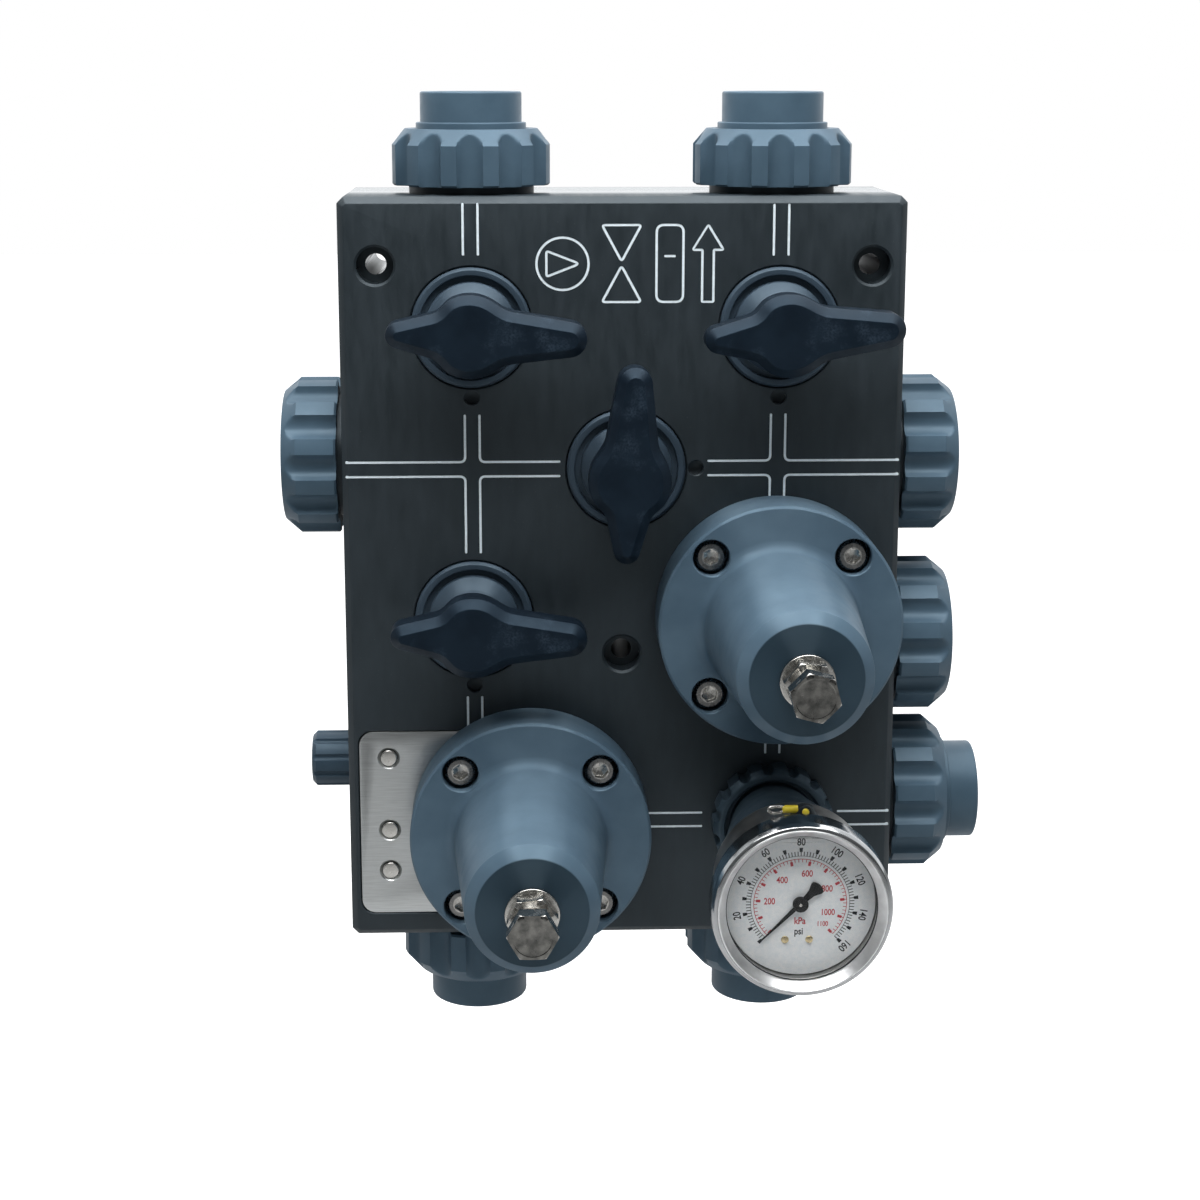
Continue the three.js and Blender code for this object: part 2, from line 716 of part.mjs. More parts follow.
function gauge() {
  const parts = new THREE.Group();
  parts.position.set(GAUGE.x, GAUGE.y, 0);
  const glassTop = BEZEL.lip - GAP;
  const dial = rod(DIAL.radius, DIAL.face - DIAL.thick, DIAL.face, ROUND.medium);
  const glass = rod(GLASS.radius, glassTop - GLASS.thick, glassTop, ROUND.medium);
  parts.add(piece("gauge_guard_nut", guardNutSolid(), FINISH.handle));
  parts.add(piece("gauge_guard_body", guardBodySolid(), FINISH.pvc));
  parts.add(piece("gauge_case", caseSolid(), FINISH.steel));
  parts.add(piece("gauge_bezel", bezelSolid(), FINISH.steel));
  parts.add(piece("gauge_dial", dial, FINISH.dial));
  parts.add(piece("gauge_glass", glass, FINISH.glass));
  const needle = piece("gauge_pointer", needleSolid(), FINISH.needle);
  needle.rotation.z = radians(GAUGE.needleTurn);
  parts.add(needle);
  return parts;
}

// ---------------------------------------------------------------- unions and plugs

function nutSolid() {
  const { radius, from, to, flutes, fluteRadius, fluteDepth, lip, lead } = NUT;
  const bore = TAIL.flange + NUT_CLEARANCE;
  const blank = extruded(flutedOutline(radius, flutes, fluteRadius, fluteDepth), from, to);
  const envelope = turned(
    [
      [lip, from - PAST],
      [radius + PAST, from - PAST],
      [radius + PAST, to - lead],
      [radius, to - lead],
      [radius - NUT_BEVEL, to],
      [lip, to],
    ],
    ROUND.union,
  );
  return cut(common(blank, envelope), rod(bore, from - 2 * PAST, TAIL.flangeTop + GAP, ROUND.union));
}

function tailpieceSolid() {
  const from = SPIGOT.length + GAP;
  const { flange, flangeTop, collar, collarTop, radius, end } = TAIL;
  return turned(
    [
      [SOCKET.floor, from],
      [flange, from],
      [flange, flangeTop],
      [collar, flangeTop],
      [collar, collarTop],
      [radius, collarTop],
      [radius, end],
      [SOCKET.radius, end],
      [SOCKET.radius, end - SOCKET.depth],
      [SOCKET.floor, end - SOCKET.depth],
    ],
    ROUND.union,
  );
}

function blankDiscSolid() {
  const from = SPIGOT.length + GAP;
  return turned(
    [
      [0, from],
      [TAIL.flange, from],
      [TAIL.flange, TAIL.flangeTop],
      [TAIL.collar, TAIL.flangeTop],
      [TAIL.collar, TAIL.flangeTop + BLANK_STEP],
      [0, TAIL.flangeTop + BLANK_STEP],
    ],
    ROUND.union,
  );
}

function union(port) {
  const group = portGroup(port);
  group.add(piece(port.name + "_union_nut", nutSolid(), FINISH.union));
  if (port.piped) group.add(piece(port.name + "_tailpiece", tailpieceSolid(), FINISH.union));
  else group.add(piece(port.name + "_blank_disc", blankDiscSolid(), FINISH.union));
  return group;
}

// A small screwed plug with grooves along its grip.
function drainPlug() {
  const { radius, length, thread, threadDepth } = DRAIN;
  const { count, radius: grooveRadius, depth } = DRAIN_GROOVES;
  const grip = extruded(flutedOutline(radius, count, grooveRadius, depth), GAP, length);
  const shank = rod(thread, -threadDepth, 1, ROUND.small);
  const group = portGroup(DRAIN);
  group.add(piece("drain_plug", join(grip, shank), FINISH.union));
  return group;
}

// ---------------------------------------------------------------- assembly

function multiportValve() {
  const front = new THREE.Group();
  front.rotation.x = Math.PI / 2;
  front.position.y = -BLOCK.depth;
  front.add(manifoldBlock(), namePlate(), gauge(), drainPlug());
  BALL_VALVES.forEach((valve) => front.add(ballValve(valve)));
  PRESSURE_VALVES.forEach((valve) => front.add(pressureValve(valve)));
  PORTS.forEach((port) => front.add(union(port)));
  const assembly = new THREE.Group();
  assembly.add(front);
  return assembly;
}

export default multiportValve();
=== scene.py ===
"""A multiport valve block for chemical dosing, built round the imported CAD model.

Meshes are drawn in millimetres in a local frame whose z is the axis of the piece, then placed on the
block's front face or on one of its side ports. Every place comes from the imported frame.
"""
import json
import math

import bmesh
import bpy
from mathutils import Matrix, Vector


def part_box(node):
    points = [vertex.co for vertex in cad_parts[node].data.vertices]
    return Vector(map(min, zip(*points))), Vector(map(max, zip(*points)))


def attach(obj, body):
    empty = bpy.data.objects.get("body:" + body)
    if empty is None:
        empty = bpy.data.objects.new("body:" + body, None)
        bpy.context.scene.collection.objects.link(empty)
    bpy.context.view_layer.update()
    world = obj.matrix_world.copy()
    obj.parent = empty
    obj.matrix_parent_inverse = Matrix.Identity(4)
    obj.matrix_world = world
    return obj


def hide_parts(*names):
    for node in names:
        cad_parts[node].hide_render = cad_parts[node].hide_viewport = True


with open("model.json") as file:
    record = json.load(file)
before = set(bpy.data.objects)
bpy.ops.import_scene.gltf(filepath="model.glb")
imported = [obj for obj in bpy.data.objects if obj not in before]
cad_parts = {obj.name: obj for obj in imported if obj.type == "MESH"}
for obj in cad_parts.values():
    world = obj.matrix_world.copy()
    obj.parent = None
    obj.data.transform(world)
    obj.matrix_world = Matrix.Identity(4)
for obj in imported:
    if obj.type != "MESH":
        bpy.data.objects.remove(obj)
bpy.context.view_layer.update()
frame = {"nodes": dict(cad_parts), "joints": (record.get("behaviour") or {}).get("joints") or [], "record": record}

MM = 0.001
TAU = 2 * math.pi
FACE_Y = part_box("manifold_block")[0].y  # the block's front face
MID_Y = FACE_Y / 2  # the passages lie in the middle of the depth
CORNERS = ((-1, 1), (1, 1), (1, -1), (-1, -1))  # the four screws of a bonnet, clockwise


def middle(node):
    low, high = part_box(node)
    return (low + high) / 2


# ---------------- places


def on_face(x, z, turn=0.0):
    """x right, y up and z out of the block's front face, at a point given in metres."""
    axes = Matrix(((1, 0, 0, x), (0, 0, -1, FACE_Y), (0, 1, 0, z), (0, 0, 0, 1)))
    return axes @ Matrix.Rotation(turn, 4, "Z")


BLOCK_HALF = (115, 156.5)  # half the block's width and height, in millimetres
OUTWARD = {"top": (0, 0, 1), "bottom": (0, 0, -1), "left": (-1, 0, 0), "right": (1, 0, 0)}


def on_side(side, at):
    """z out of the block's side at mid-depth, where a port stands."""
    out = Vector(OUTWARD[side])
    upright = side in ("top", "bottom")
    across = Vector((1, 0, 0)) if upright else Vector((0, 0, 1))
    up = out.cross(across)
    half = (BLOCK_HALF[1] if upright else BLOCK_HALF[0]) * MM
    centre = out * half + across * at + Vector((0, MID_Y, 0))
    rows = [(across[i], up[i], out[i], centre[i]) for i in range(3)]
    return Matrix((*rows, (0, 0, 0, 1)))


def moved(where, x=0.0, y=0.0, z=0.0):
    """The same place shifted by millimetres along its own axes."""
    return where @ Matrix.Translation((x * MM, y * MM, z * MM))


# ---------------- meshes


def soften(points, closed, default=0.35, steps=4):
    """Rounds the corners of an outline. A point is (x, y) or (x, y, radius)."""
    count = len(points)
    result = []
    for i, point in enumerate(points):
        here = Vector(point[:2])
        radius = point[2] if len(point) > 2 else default
        if radius <= 0 or (not closed and i in (0, count - 1)):
            result.append(here)
            continue
        before = Vector(points[i - 1][:2]) - here
        after = Vector(points[(i + 1) % count][:2]) - here
        bend = math.pi - before.angle(after)
        if bend < 0.05:
            result.append(here)
            continue
        room = 0.45 * min(before.length, after.length)
        reach = min(radius * math.tan(bend / 2), room)
        start = here + before.normalized() * reach
        end = here + after.normalized() * reach
        for step in range(steps + 1):
            t = step / steps
            result.append((1 - t) ** 2 * start + 2 * t * (1 - t) * here + t * t * end)
    return result


def smoothed(mesh, angle):
    """The mesh with smooth shading, sharp where its faces bend past an angle."""
    mesh.polygons.foreach_set("use_smooth", [True] * len(mesh.polygons))
    mesh.set_sharp_from_angle(angle=math.radians(angle))
    return mesh


def finish_mesh(name, bm, angle):
    """Turns a bmesh in millimetres into a smooth mesh in metres, sharp where it bends past angle."""
    bmesh.ops.remove_doubles(bm, verts=bm.verts, dist=1e-4)
    bmesh.ops.recalc_face_normals(bm, faces=bm.faces)
    bmesh.ops.scale(bm, vec=(MM, MM, MM), verts=bm.verts)
    mesh = bpy.data.meshes.new(name)
    bm.to_mesh(mesh)
    bm.free()
    return smoothed(mesh, angle)


def even(sides):
    """Angles that divide a turn evenly."""
    return [TAU * i / sides for i in range(sides)]


def turned(name, profile, angles=None, limit=None, default=0.35, angle=32, steps=4):
    """A solid of revolution about z. The profile goes up the outside, and down the inside of a ring.

    limit(angle) is the largest radius at an angle, for flutes and flats.
    """
    angles = angles or even(112)
    ring = profile[0][0] > 0
    points = soften(profile, ring, default, steps)
    bm = bmesh.new()
    columns = []
    for a in angles:
        most = limit(a) if limit else 1e9
        column = []
        for r, h in points:
            r = min(r, most)
            column.append(bm.verts.new((r * math.cos(a), r * math.sin(a), h)))
        columns.append(column)
    last = len(points) if ring else len(points) - 1
    for i, column in enumerate(columns):
        other = columns[(i + 1) % len(columns)]
        for j in range(last):
            k = (j + 1) % len(points)
            corners = [column[j], other[j], other[k], column[k]]
            if points[j][0] == 0 and not ring:
                corners = [column[j], other[k], column[k]]
            elif points[k][0] == 0 and not ring:
                corners = [column[j], other[j], column[k]]
            bm.faces.new(corners)
    return finish_mesh(name, bm, angle)


def normals_of(outline):
    """Outward mitre vectors of a counterclockwise outline."""
    result = []
    for i, here in enumerate(outline):
        before = (here - outline[i - 1]).normalized()
        after = (outline[(i + 1) % len(outline)] - here).normalized()
        first = Vector((before.y, -before.x))
        second = Vector((after.y, -after.x))
        total = first + second
        result.append(total * (2 / max(total.length_squared, 0.2)))
    return result


def wall(bm, rows, closed=False):
    """Joins each row of vertices to the next. The last is joined to the first, or both ends are capped."""
    for low, high in zip(rows, rows[1:] + rows[:1] if closed else rows[1:]):
        for i in range(len(low)):
            k = (i + 1) % len(low)
            bm.faces.new((low[i], low[k], high[k], high[i]))
    if not closed:
        bm.faces.new(rows[0][::-1])
        bm.faces.new(rows[-1])


def skinned(name, outline, profile, angle=32):
    """A prism over a counterclockwise outline. The profile lists (inset, height) from the bottom up."""
    outline = [Vector(p[:2]) for p in outline]
    mitres = normals_of(outline)
    bm = bmesh.new()
    rings = []
    for inset, height in profile:
        spots = [p - n * inset for p, n in zip(outline, mitres)]
        rings.append([bm.verts.new((p.x, p.y, height)) for p in spots])
    wall(bm, rings)
    return finish_mesh(name, bm, angle)


def linked(name, data):
    """A new object in the scene."""
    item = bpy.data.objects.new(name, data)
    bpy.context.scene.collection.objects.link(item)
    return item


def evaluated(item):
    """The mesh that an object shows, with its modifiers."""
    bpy.context.view_layer.update()
    graph = bpy.context.evaluated_depsgraph_get()
    return bpy.data.meshes.new_from_object(item.evaluated_get(graph))


def mesh_of(curve):
    """The mesh of a curve or a text, which is used up."""
    item = linked(curve.name, curve)
    mesh = evaluated(item)
    bpy.data.objects.remove(item)
    bpy.data.curves.remove(curve)
    return mesh


def place(name, mesh, where, finish, body="block", replaces=()):
    """Puts a mesh in its place, with a finish, as a piece that rides on a body."""
    material, slot = FINISHES[finish]
    piece = linked(name, mesh)
    piece.matrix_world = where
    if not mesh.materials:
        mesh.materials.append(material)
    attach(piece, body)
    if replaces:
        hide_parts(*replaces)


def place_turned(name, profile, where, finish, sides=112, replaces=(), **options):
    """Turns a piece of the fixed body and puts it in its place."""
    place(name, turned(name, profile, even(sides), **options), where, finish, replaces=replaces)


def joined(name, meshes, angle=32):
    """One mesh from several."""
    bm = bmesh.new()
    for mesh in meshes:
        bm.from_mesh(mesh)
    mesh = bpy.data.meshes.new(name)
    bm.to_mesh(mesh)
    bm.free()
    mesh.set_sharp_from_angle(angle=math.radians(angle))
    return mesh


def carved(base, tools, at=None):
    """The base mesh, drawn in the place at, with every tool cut from it. Each tool is (mesh, place)."""
    body = linked("carving", base)
    body.matrix_world = at or Matrix()
    for mesh, where in tools:
        tool = linked("tool", mesh)
        tool.matrix_world = where
        cut = body.modifiers.new("cut", "BOOLEAN")
        cut.operation = "DIFFERENCE"
        cut.object = tool
        cut.solver = "MANIFOLD"
    result = evaluated(body)
    for cut in body.modifiers:
        bpy.data.objects.remove(cut.object)
    bpy.data.objects.remove(body)
    result.materials.clear()
    return smoothed(result, 32)


def arc(x, y, radius, start, end, steps):
    """Points of an arc, in degrees, both ends included."""
    turns = [math.radians(start + (end - start) * i / steps) for i in range(steps + 1)]
    return [(x + radius * math.cos(t), y + radius * math.sin(t)) for t in turns]


def bezier(a, b, c, d, steps):
    """Points of a cubic curve between its ends, the ends left out."""
    result = []
    for i in range(1, steps):
        t = i / steps
        s = 1 - t
        weights = (s**3, 3 * s * s * t, 3 * s * t * t, t**3)
        result.append(tuple(sum(w * p[k] for w, p in zip(weights, (a, b, c, d))) for k in (0, 1)))
    return result


def fluted_limit(radius, flutes, flute_radius, depth):
    """The rim radius at an angle, for a rim with round flutes centred at even angles from 0."""
    centre = radius + flute_radius - depth

    def limit(a):
        pitch = TAU / flutes
        off = (a + pitch / 2) % pitch - pitch / 2
        side = centre * math.sin(off)
        if abs(side) >= flute_radius:
            return radius
        return min(radius, centre * math.cos(off) - math.sqrt(flute_radius**2 - side**2))

    return limit


def fluted_angles(radius, flutes, flute_radius, depth, inside=10, land=3):
    """Angles that land exactly on the flutes' edges."""
    centre = radius + flute_radius - depth
    along = (radius**2 - flute_radius**2 + centre**2) / (2 * centre)
    half = math.acos(along / radius)
    pitch = TAU / flutes
    result = []
    for k in range(flutes):
        result += [k * pitch - half + 2 * half * i / inside for i in range(inside)]
        result += [k * pitch + half + (pitch - 2 * half) * i / land for i in range(land)]
    return result


# ---------------- materials


class Nodes:
    """A small wrapper that makes a material's node tree short to write."""

    def __init__(self, name):
        self.material = bpy.data.materials.new(name)
        self.material.use_nodes = True
        self.tree = self.material.node_tree
        self.shader = self.tree.nodes["Principled BSDF"]
        self.coords = self.tree.nodes.new("ShaderNodeTexCoord").outputs["Object"]

    def add(self, kind, **values):
        node = self.tree.nodes.new("ShaderNode" + kind)
        for key, value in values.items():
            if hasattr(node, key):
                setattr(node, key, value)
            else:
                node.inputs[key.replace("_", " ")].default_value = value
        return node

    def link(self, start, end):
        self.tree.links.new(start, end)

    def stretched(self, scale):
        """Object coordinates stretched by a scale along each axis."""
        node = self.add("Mapping")
        node.inputs["Scale"].default_value = scale
        self.link(self.coords, node.inputs["Vector"])
        return node.outputs["Vector"]

    def noise(self, scale, detail=4.0, vector=None, roughness=0.55):
        node = self.add("TexNoise", Scale=scale, Detail=detail, Roughness=roughness)
        self.link(vector or self.coords, node.inputs["Vector"])
        return node.outputs["Fac"]

    def ramp(self, value, low, high, first, second):
        """Maps value from low..high onto two colours or two grey levels."""
        node = self.add("ValToRGB")
        ends = node.color_ramp.elements
        ends[0].position, ends[1].position = low, high
        ends[0].color = (*first, 1) if isinstance(first, tuple) else (first, first, first, 1)
        ends[1].color = (*second, 1) if isinstance(second, tuple) else (second, second, second, 1)
        self.link(value, node.inputs["Fac"])
        return node.outputs["Color"]

    def step(self, value, low, high):
        """0 below low and 1 above high, exact however close the two are."""
        node = self.add("MapRange", From_Min=low, From_Max=high)
        self.link(value, node.inputs["Value"])
        return node.outputs["Result"]

    def mix(self, factor, first, second):
        node = self.add("Mix", data_type="RGBA")
        self.link(factor, node.inputs[0])
        for end, value in ((6, first), (7, second)):
            if isinstance(value, tuple):
                node.inputs[end].default_value = (*value, 1)
            else:
                self.link(value, node.inputs[end])
        return node.outputs[2]

    def math(self, operation, first, second=0.0):
        node = self.add("Math", operation=operation)
        for end, value in enumerate((first, second)):
            if isinstance(value, (int, float)):
                node.inputs[end].default_value = value
            else:
                self.link(value, node.inputs[end])
        return node.outputs[0]

    def bump(self, height, strength, distance, after=None):
        node = self.add("Bump", Strength=strength, Distance=distance)
        self.link(height, node.inputs["Height"])
        if after:
            self.link(after, node.inputs["Normal"])
        self.link(node.outputs["Normal"], self.shader.inputs["Normal"])
        return node.outputs["Normal"]

    def split(self):
        """The object coordinates along x, y and z."""
        node = self.add("SeparateXYZ")
        self.link(self.coords, node.inputs[0])
        return node.outputs

    def off_axis_squared(self):
        """The square of the distance from the local z axis."""
        parts = self.split()
        x2, y2 = [self.math("MULTIPLY", parts[k], parts[k]) for k in ("X", "Y")]
        return self.math("ADD", x2, y2)

    def rings(self, pitch):
        """A wave of the distance from the local z axis and along it: the marks that a lathe leaves."""
        away = self.math("SQRT", self.off_axis_squared())
        both = self.math("ADD", away, self.split()["Z"])
        return self.math("SINE", self.math("MULTIPLY", both, TAU / pitch))

    def set(self, name, value):
        """Sets an even value on the shader."""
        self.shader.inputs[name].default_value = value

    def feed(self, name, value):
        """Links a varying value to the shader."""
        self.link(value, self.shader.inputs[name])


# Where a finish or painted shade changes, in metres: heights of the bonnet's nose, above which shade is painted,
# and of the adjusting screw's outer face, above which a dark reflection is painted, and distances from a cap
# screw's axis.
NOSE_SHADE_EDGE = (0.1031, 0.1034)
HEAD_FACE = (0.12715, 0.12735)
SOCKET_RIM = (0.0034, 0.0038)


def srgb(r, g, b):
    """A linear colour from 8-bit display values."""
    def one(v):
        v /= 255
        return v / 12.92 if v <= 0.04045 else ((v + 0.055) / 1.055) ** 2.4
    return (one(r), one(g), one(b))


def plastic(name, dark, light, roughness, specular=0.5, spots=45.0):
    """Turned or moulded plastic: soft colour patches, fine grain and uneven gloss."""
    n = Nodes(name)
    n.feed("Base Color", n.ramp(n.noise(spots, 5.0), 0.35, 0.68, dark, light))
    n.feed("Roughness", n.ramp(n.noise(spots * 3, 6.0), 0.3, 0.7, roughness - 0.05, roughness + 0.07))
    n.bump(n.noise(900.0, 3.0), 0.35, 0.00002)
    n.set("Specular IOR Level", specular)
    n.set("Specular Tint", (0.65, 0.85, 1.0, 1.0))
    return n


def block_material():
    """Milled charcoal PVC: long faint tool streaks, a few light rubs and fine pits."""
    n = Nodes("milled_charcoal")
    streaks = n.noise(1.0, 5.0, n.stretched((260, 60, 7)))
    broad = n.noise(1.0, 4.0, n.stretched((42, 20, 9)))
    both = n.math("ADD", n.math("MULTIPLY", streaks, 0.45), n.math("MULTIPLY", broad, 0.55))
    colour = n.ramp(both, 0.36, 0.66, srgb(25, 32, 36), srgb(38, 45, 50))
    speck = n.ramp(n.noise(1500, 2.0), 0.70, 0.76, 0.0, 1.0)
    n.feed("Base Color", n.mix(n.math("MULTIPLY", speck, 0.35), colour, srgb(92, 95, 96)))
    rough = n.ramp(streaks, 0.3, 0.7, 0.42, 0.56)
    grazing = n.ramp(n.add("LayerWeight").outputs["Facing"], 0.86, 0.95, 0.0, 1.0)
    n.feed("Roughness", n.mix(grazing, rough, (0.12, 0.12, 0.12)))
    first = n.bump(streaks, 0.25, 0.00006)
    n.bump(n.noise(1900, 2.0), 0.2, 0.00002, after=first)
    n.set("Specular IOR Level", 0.5)
    n.set("Specular Tint", (0.8, 0.92, 1.0, 1.0))
    return n.material


def turned_plastic(name, dark, light, roughness):
    """Plastic with the fine concentric marks of a lathe."""
    n = plastic(name, dark, light, roughness)
    wobble = n.math("MULTIPLY", n.noise(60, 3.0), 3.0)
    n.bump(n.math("ADD", n.rings(0.0007), wobble), 0.16, 0.00002)
    return n.material


def bonnet_plastic():
    """Turned plastic, with the long highlights of fine turning marks, and shade painted on its outermost face."""
    n = Nodes("bonnet_grey_pvc")
    colour = n.ramp(n.noise(45.0, 5.0), 0.35, 0.68, GREY_DARK, GREY_LIGHT)
    # Painted shade: the bonnet's outermost face is coloured darker, where the overhead lamps hardly reach it.
    painted_nose_shade = n.step(n.split()["Z"], *NOSE_SHADE_EDGE)
    n.feed("Base Color", n.mix(painted_nose_shade, colour, srgb(38, 53, 64)))
    n.feed("Roughness", n.ramp(n.noise(135.0, 6.0), 0.3, 0.7, 0.32, 0.42))
    n.bump(n.noise(900, 3.0), 0.35, 0.00002)
    tangent = n.add("Tangent", direction_type="RADIAL", axis="Z")
    n.feed("Tangent", tangent.outputs[0])
    n.set("Specular IOR Level", 0.6)
    n.set("Specular Tint", (0.6, 0.83, 1.0, 1.0))
    n.set("Anisotropic", 1.0)
    n.set("Anisotropic Rotation", 0.25)
    return n.material


def handle_material():
    """Dark blue-black plastic, with paler rubbed patches."""
    n = plastic("handle_plastic", srgb(10, 18, 27), srgb(19, 29, 39), 0.44, specular=0.24, spots=60.0)
    n.set("Specular Tint", (0.5, 0.75, 1.0, 1.0))
    base = n.shader.inputs["Base Color"].links[0].from_socket
    patches = n.ramp(n.noise(75, 8.0), 0.55, 0.7, 0.0, 1.0)
    scuffs = n.ramp(n.noise(1200, 3.0), 0.35, 0.6, 0.05, 0.4)
    rubbed = n.math("MULTIPLY", patches, scuffs)
    n.feed("Base Color", n.mix(rubbed, base, srgb(58, 71, 84)))
    return n.material


def metal(name, colour, roughness, vary=0.08, grain=300.0, stretch=(1, 1, 1), depth=0.00002):
    """Metal with uneven polish; stretch draws its grain out along an axis."""
    n = Nodes(name)
    n.set("Metallic", 1.0)
    marks = n.noise(grain, 5.0, n.stretched(stretch))
    darker = tuple(0.78 * c for c in colour)
    n.feed("Base Color", n.ramp(marks, 0.3, 0.7, darker, colour))
    n.feed("Roughness", n.ramp(marks, 0.3, 0.7, max(0.02, roughness - vary), roughness + vary))
    n.bump(marks, 0.3, depth)
    return n.material


def screw_steel():
    """Bright steel, forged rough, with a dark reflection painted on the head's outer face."""
    n = Nodes("adjusting_screw_steel")
    n.set("Metallic", 1.0)
    marks = n.noise(420.0, 5.0)
    # Painted reflection: above this height the head's face is coloured dark, for the dark surroundings it faces.
    face = n.step(n.split()["Z"], *HEAD_FACE)
    bright = n.ramp(marks, 0.3, 0.7, (0.52, 0.51, 0.49), (0.72, 0.71, 0.68))
    painted_dark_reflection = n.ramp(n.noise(260.0, 6.0), 0.35, 0.65, (0.10, 0.10, 0.095), (0.24, 0.235, 0.22))
    n.feed("Base Color", n.mix(face, bright, painted_dark_reflection))
    n.feed("Roughness", n.ramp(marks, 0.3, 0.7, 0.14, 0.3))
    n.bump(n.noise(450.0, 5.0), 0.6, 0.00009)
    return n.material


def cap_steel():
    """Blackened steel, worn bright in and round its socket."""
    n = Nodes("cap_screw_steel")
    n.set("Metallic", 1.0)
    outside = n.step(n.off_axis_squared(), *[edge**2 for edge in SOCKET_RIM])
    marks = n.noise(500.0, 5.0)
    worn = n.ramp(marks, 0.3, 0.7, (0.40, 0.39, 0.37), (0.62, 0.61, 0.58))
    black = n.ramp(marks, 0.3, 0.7, (0.13, 0.13, 0.13), (0.22, 0.22, 0.215))
    n.feed("Base Color", n.mix(outside, worn, black))
    n.feed("Roughness", n.ramp(marks, 0.3, 0.7, 0.2, 0.36))
    return n.material


def ink(name, colour, roughness=0.55):
    """Paint or print: nearly even, with a slight mottle."""
    n = Nodes(name)
    paler = tuple(min(1, 1.12 * c + 0.01) for c in colour)
    n.feed("Base Color", n.ramp(n.noise(700, 3.0), 0.3, 0.7, colour, paler))
    n.set("Roughness", roughness)
    return n.material


def clear(name, colour, alpha, roughness):
    """A thin clear layer: mostly see-through, with a trace of dust in its gloss."""
    n = Nodes(name)
    n.set("Base Color", (*colour, 1))
    n.set("Alpha", alpha)
    n.set("IOR", 1.5)
    n.feed("Roughness", n.ramp(n.noise(90, 4.0), 0.4, 0.8, roughness, roughness + 0.04))
    return n.material


GREY_DARK, GREY_LIGHT = srgb(68, 87, 102), srgb(78, 98, 113)
# Each finish is a material and the name of a slot for its pieces, which nothing here assigns. Only CAD nodes wear
# one without a slot.
FINISHES = {
    "block": (block_material(), "block_pvc"),
    "bonnet": (bonnet_plastic(), "grey_pvc"),
    "gland": (turned_plastic("gland_grey_pvc", srgb(44, 56, 67), srgb(54, 67, 79), 0.4), "grey_pvc"),
    "union": (plastic("union_pvc", srgb(61, 80, 94), srgb(71, 91, 106), 0.4, 0.35).material, "union_pvc"),
    "drain": (plastic("drain_pvc", srgb(47, 63, 76), srgb(56, 73, 87), 0.42, 0.35).material, "union_pvc"),
    "handle": (handle_material(), "handle_plastic"),
    "guard": (plastic("guard_plastic", srgb(42, 55, 64), srgb(56, 69, 79), 0.42).material, "guard_plastic"),
    "steel": (
        metal("bright_stainless", (0.60, 0.59, 0.56), 0.22, 0.08, 420.0, depth=0.00004),
        "bright_steel",
    ),
    "case": (metal("case_stainless", (0.42, 0.42, 0.41), 0.36, 0.06, 160.0, depth=0.000004), "bright_steel"),
    "screw": (screw_steel(), "bright_steel"),
    "bezel": (metal("polished_bezel", (0.52, 0.53, 0.54), 0.15, 0.03, 120.0, depth=0.000004), "bezel_chrome"),
    "reflector": (
        metal("bezel_front_ring", (0.97, 0.98, 0.99), 0.34, 0.05, 120.0, depth=0.000004),
        "bezel_chrome",
    ),
    "brushed": (
        metal("brushed_plate", (0.56, 0.58, 0.58), 0.36, 0.08, 90.0, (1, 20, 45), 0.00003),
        "brushed_steel",
    ),
    "cap": (cap_steel(), "dark_steel"),
    "spring": (metal("spring_steel", (0.50, 0.50, 0.51), 0.3), None),
    "brass": (metal("dial_brass", (0.80, 0.66, 0.40), 0.3, 0.06, 900.0), "brass"),
    "white": (ink("groove_white", srgb(214, 226, 232), 0.6), "marking_white"),
    "dial": (ink("dial_white", srgb(240, 246, 249), 0.5), "dial_white"),
    "black_ink": (ink("dial_black", srgb(26, 30, 36)), "dial_black_ink"),
    "red_ink": (ink("dial_red", srgb(196, 62, 72)), "dial_red_ink"),
    "pointer": (ink("pointer_black", srgb(8, 10, 13), 0.6), "pointer_black"),
    "rubber": (plastic("vent_rubber", srgb(16, 17, 18), srgb(26, 27, 29), 0.62).material, "vent_rubber"),
    "seal": (plastic("seal_rubber", srgb(26, 24, 22), srgb(36, 34, 31), 0.6).material, "seal_rubber"),
    "yellow": (plastic("vent_yellow", srgb(214, 192, 40), srgb(232, 212, 66), 0.35).material, "vent_yellow"),
    "glass": (clear("window_glass", (0.03, 0.035, 0.035), 0.05, 0.02), "gauge_glass"),
    "liquid": (clear("fill_liquid", (0.2, 0.22, 0.23), 0.38, 0.1), "gauge_glass"),
}


def dress(node, finish):
    """Gives a carried-over CAD node a finished material."""
    for slot in frame["nodes"][node].material_slots:
        slot.material = FINISHES[finish][0]


# ---------------- what stands where

VALVES = {}
for joint in frame["joints"]:
    if joint["name"].startswith("valve_"):
        VALVES[joint["name"][:7]] = (joint["pos_m"][0], joint["pos_m"][2])
REST_TURN = {"valve_1": -1.7, "valve_2": 3.2, "valve_3": 87.3, "valve_4": -1.3}
DIMPLE_AWAY = {"valve_1": (0, -28.6), "valve_2": (0, -28.6), "valve_3": (28.6, 0), "valve_4": (0, -28.6)}
PRESSURE = {name: middle(name + "_bonnet") for name in ("backpressure", "relief")}
HEX_TURN = {"backpressure": 15, "relief": 30}
GAUGE = middle("gauge_bezel")
COLUMN_LEFT, COLUMN_RIGHT = VALVES["valve_1"][0], VALVES["valve_2"][0]
ROW_UPPER, ROW_LOWER = VALVES["valve_3"][1], GAUGE.z
SEATS = [o["box_m"] for o in frame["record"]["physics"]["openings"] if o["name"].endswith("_hole")]
MOUNT_HOLES = [((low[0] + high[0]) / 2, (low[2] + high[2]) / 2) for low, high in SEATS]
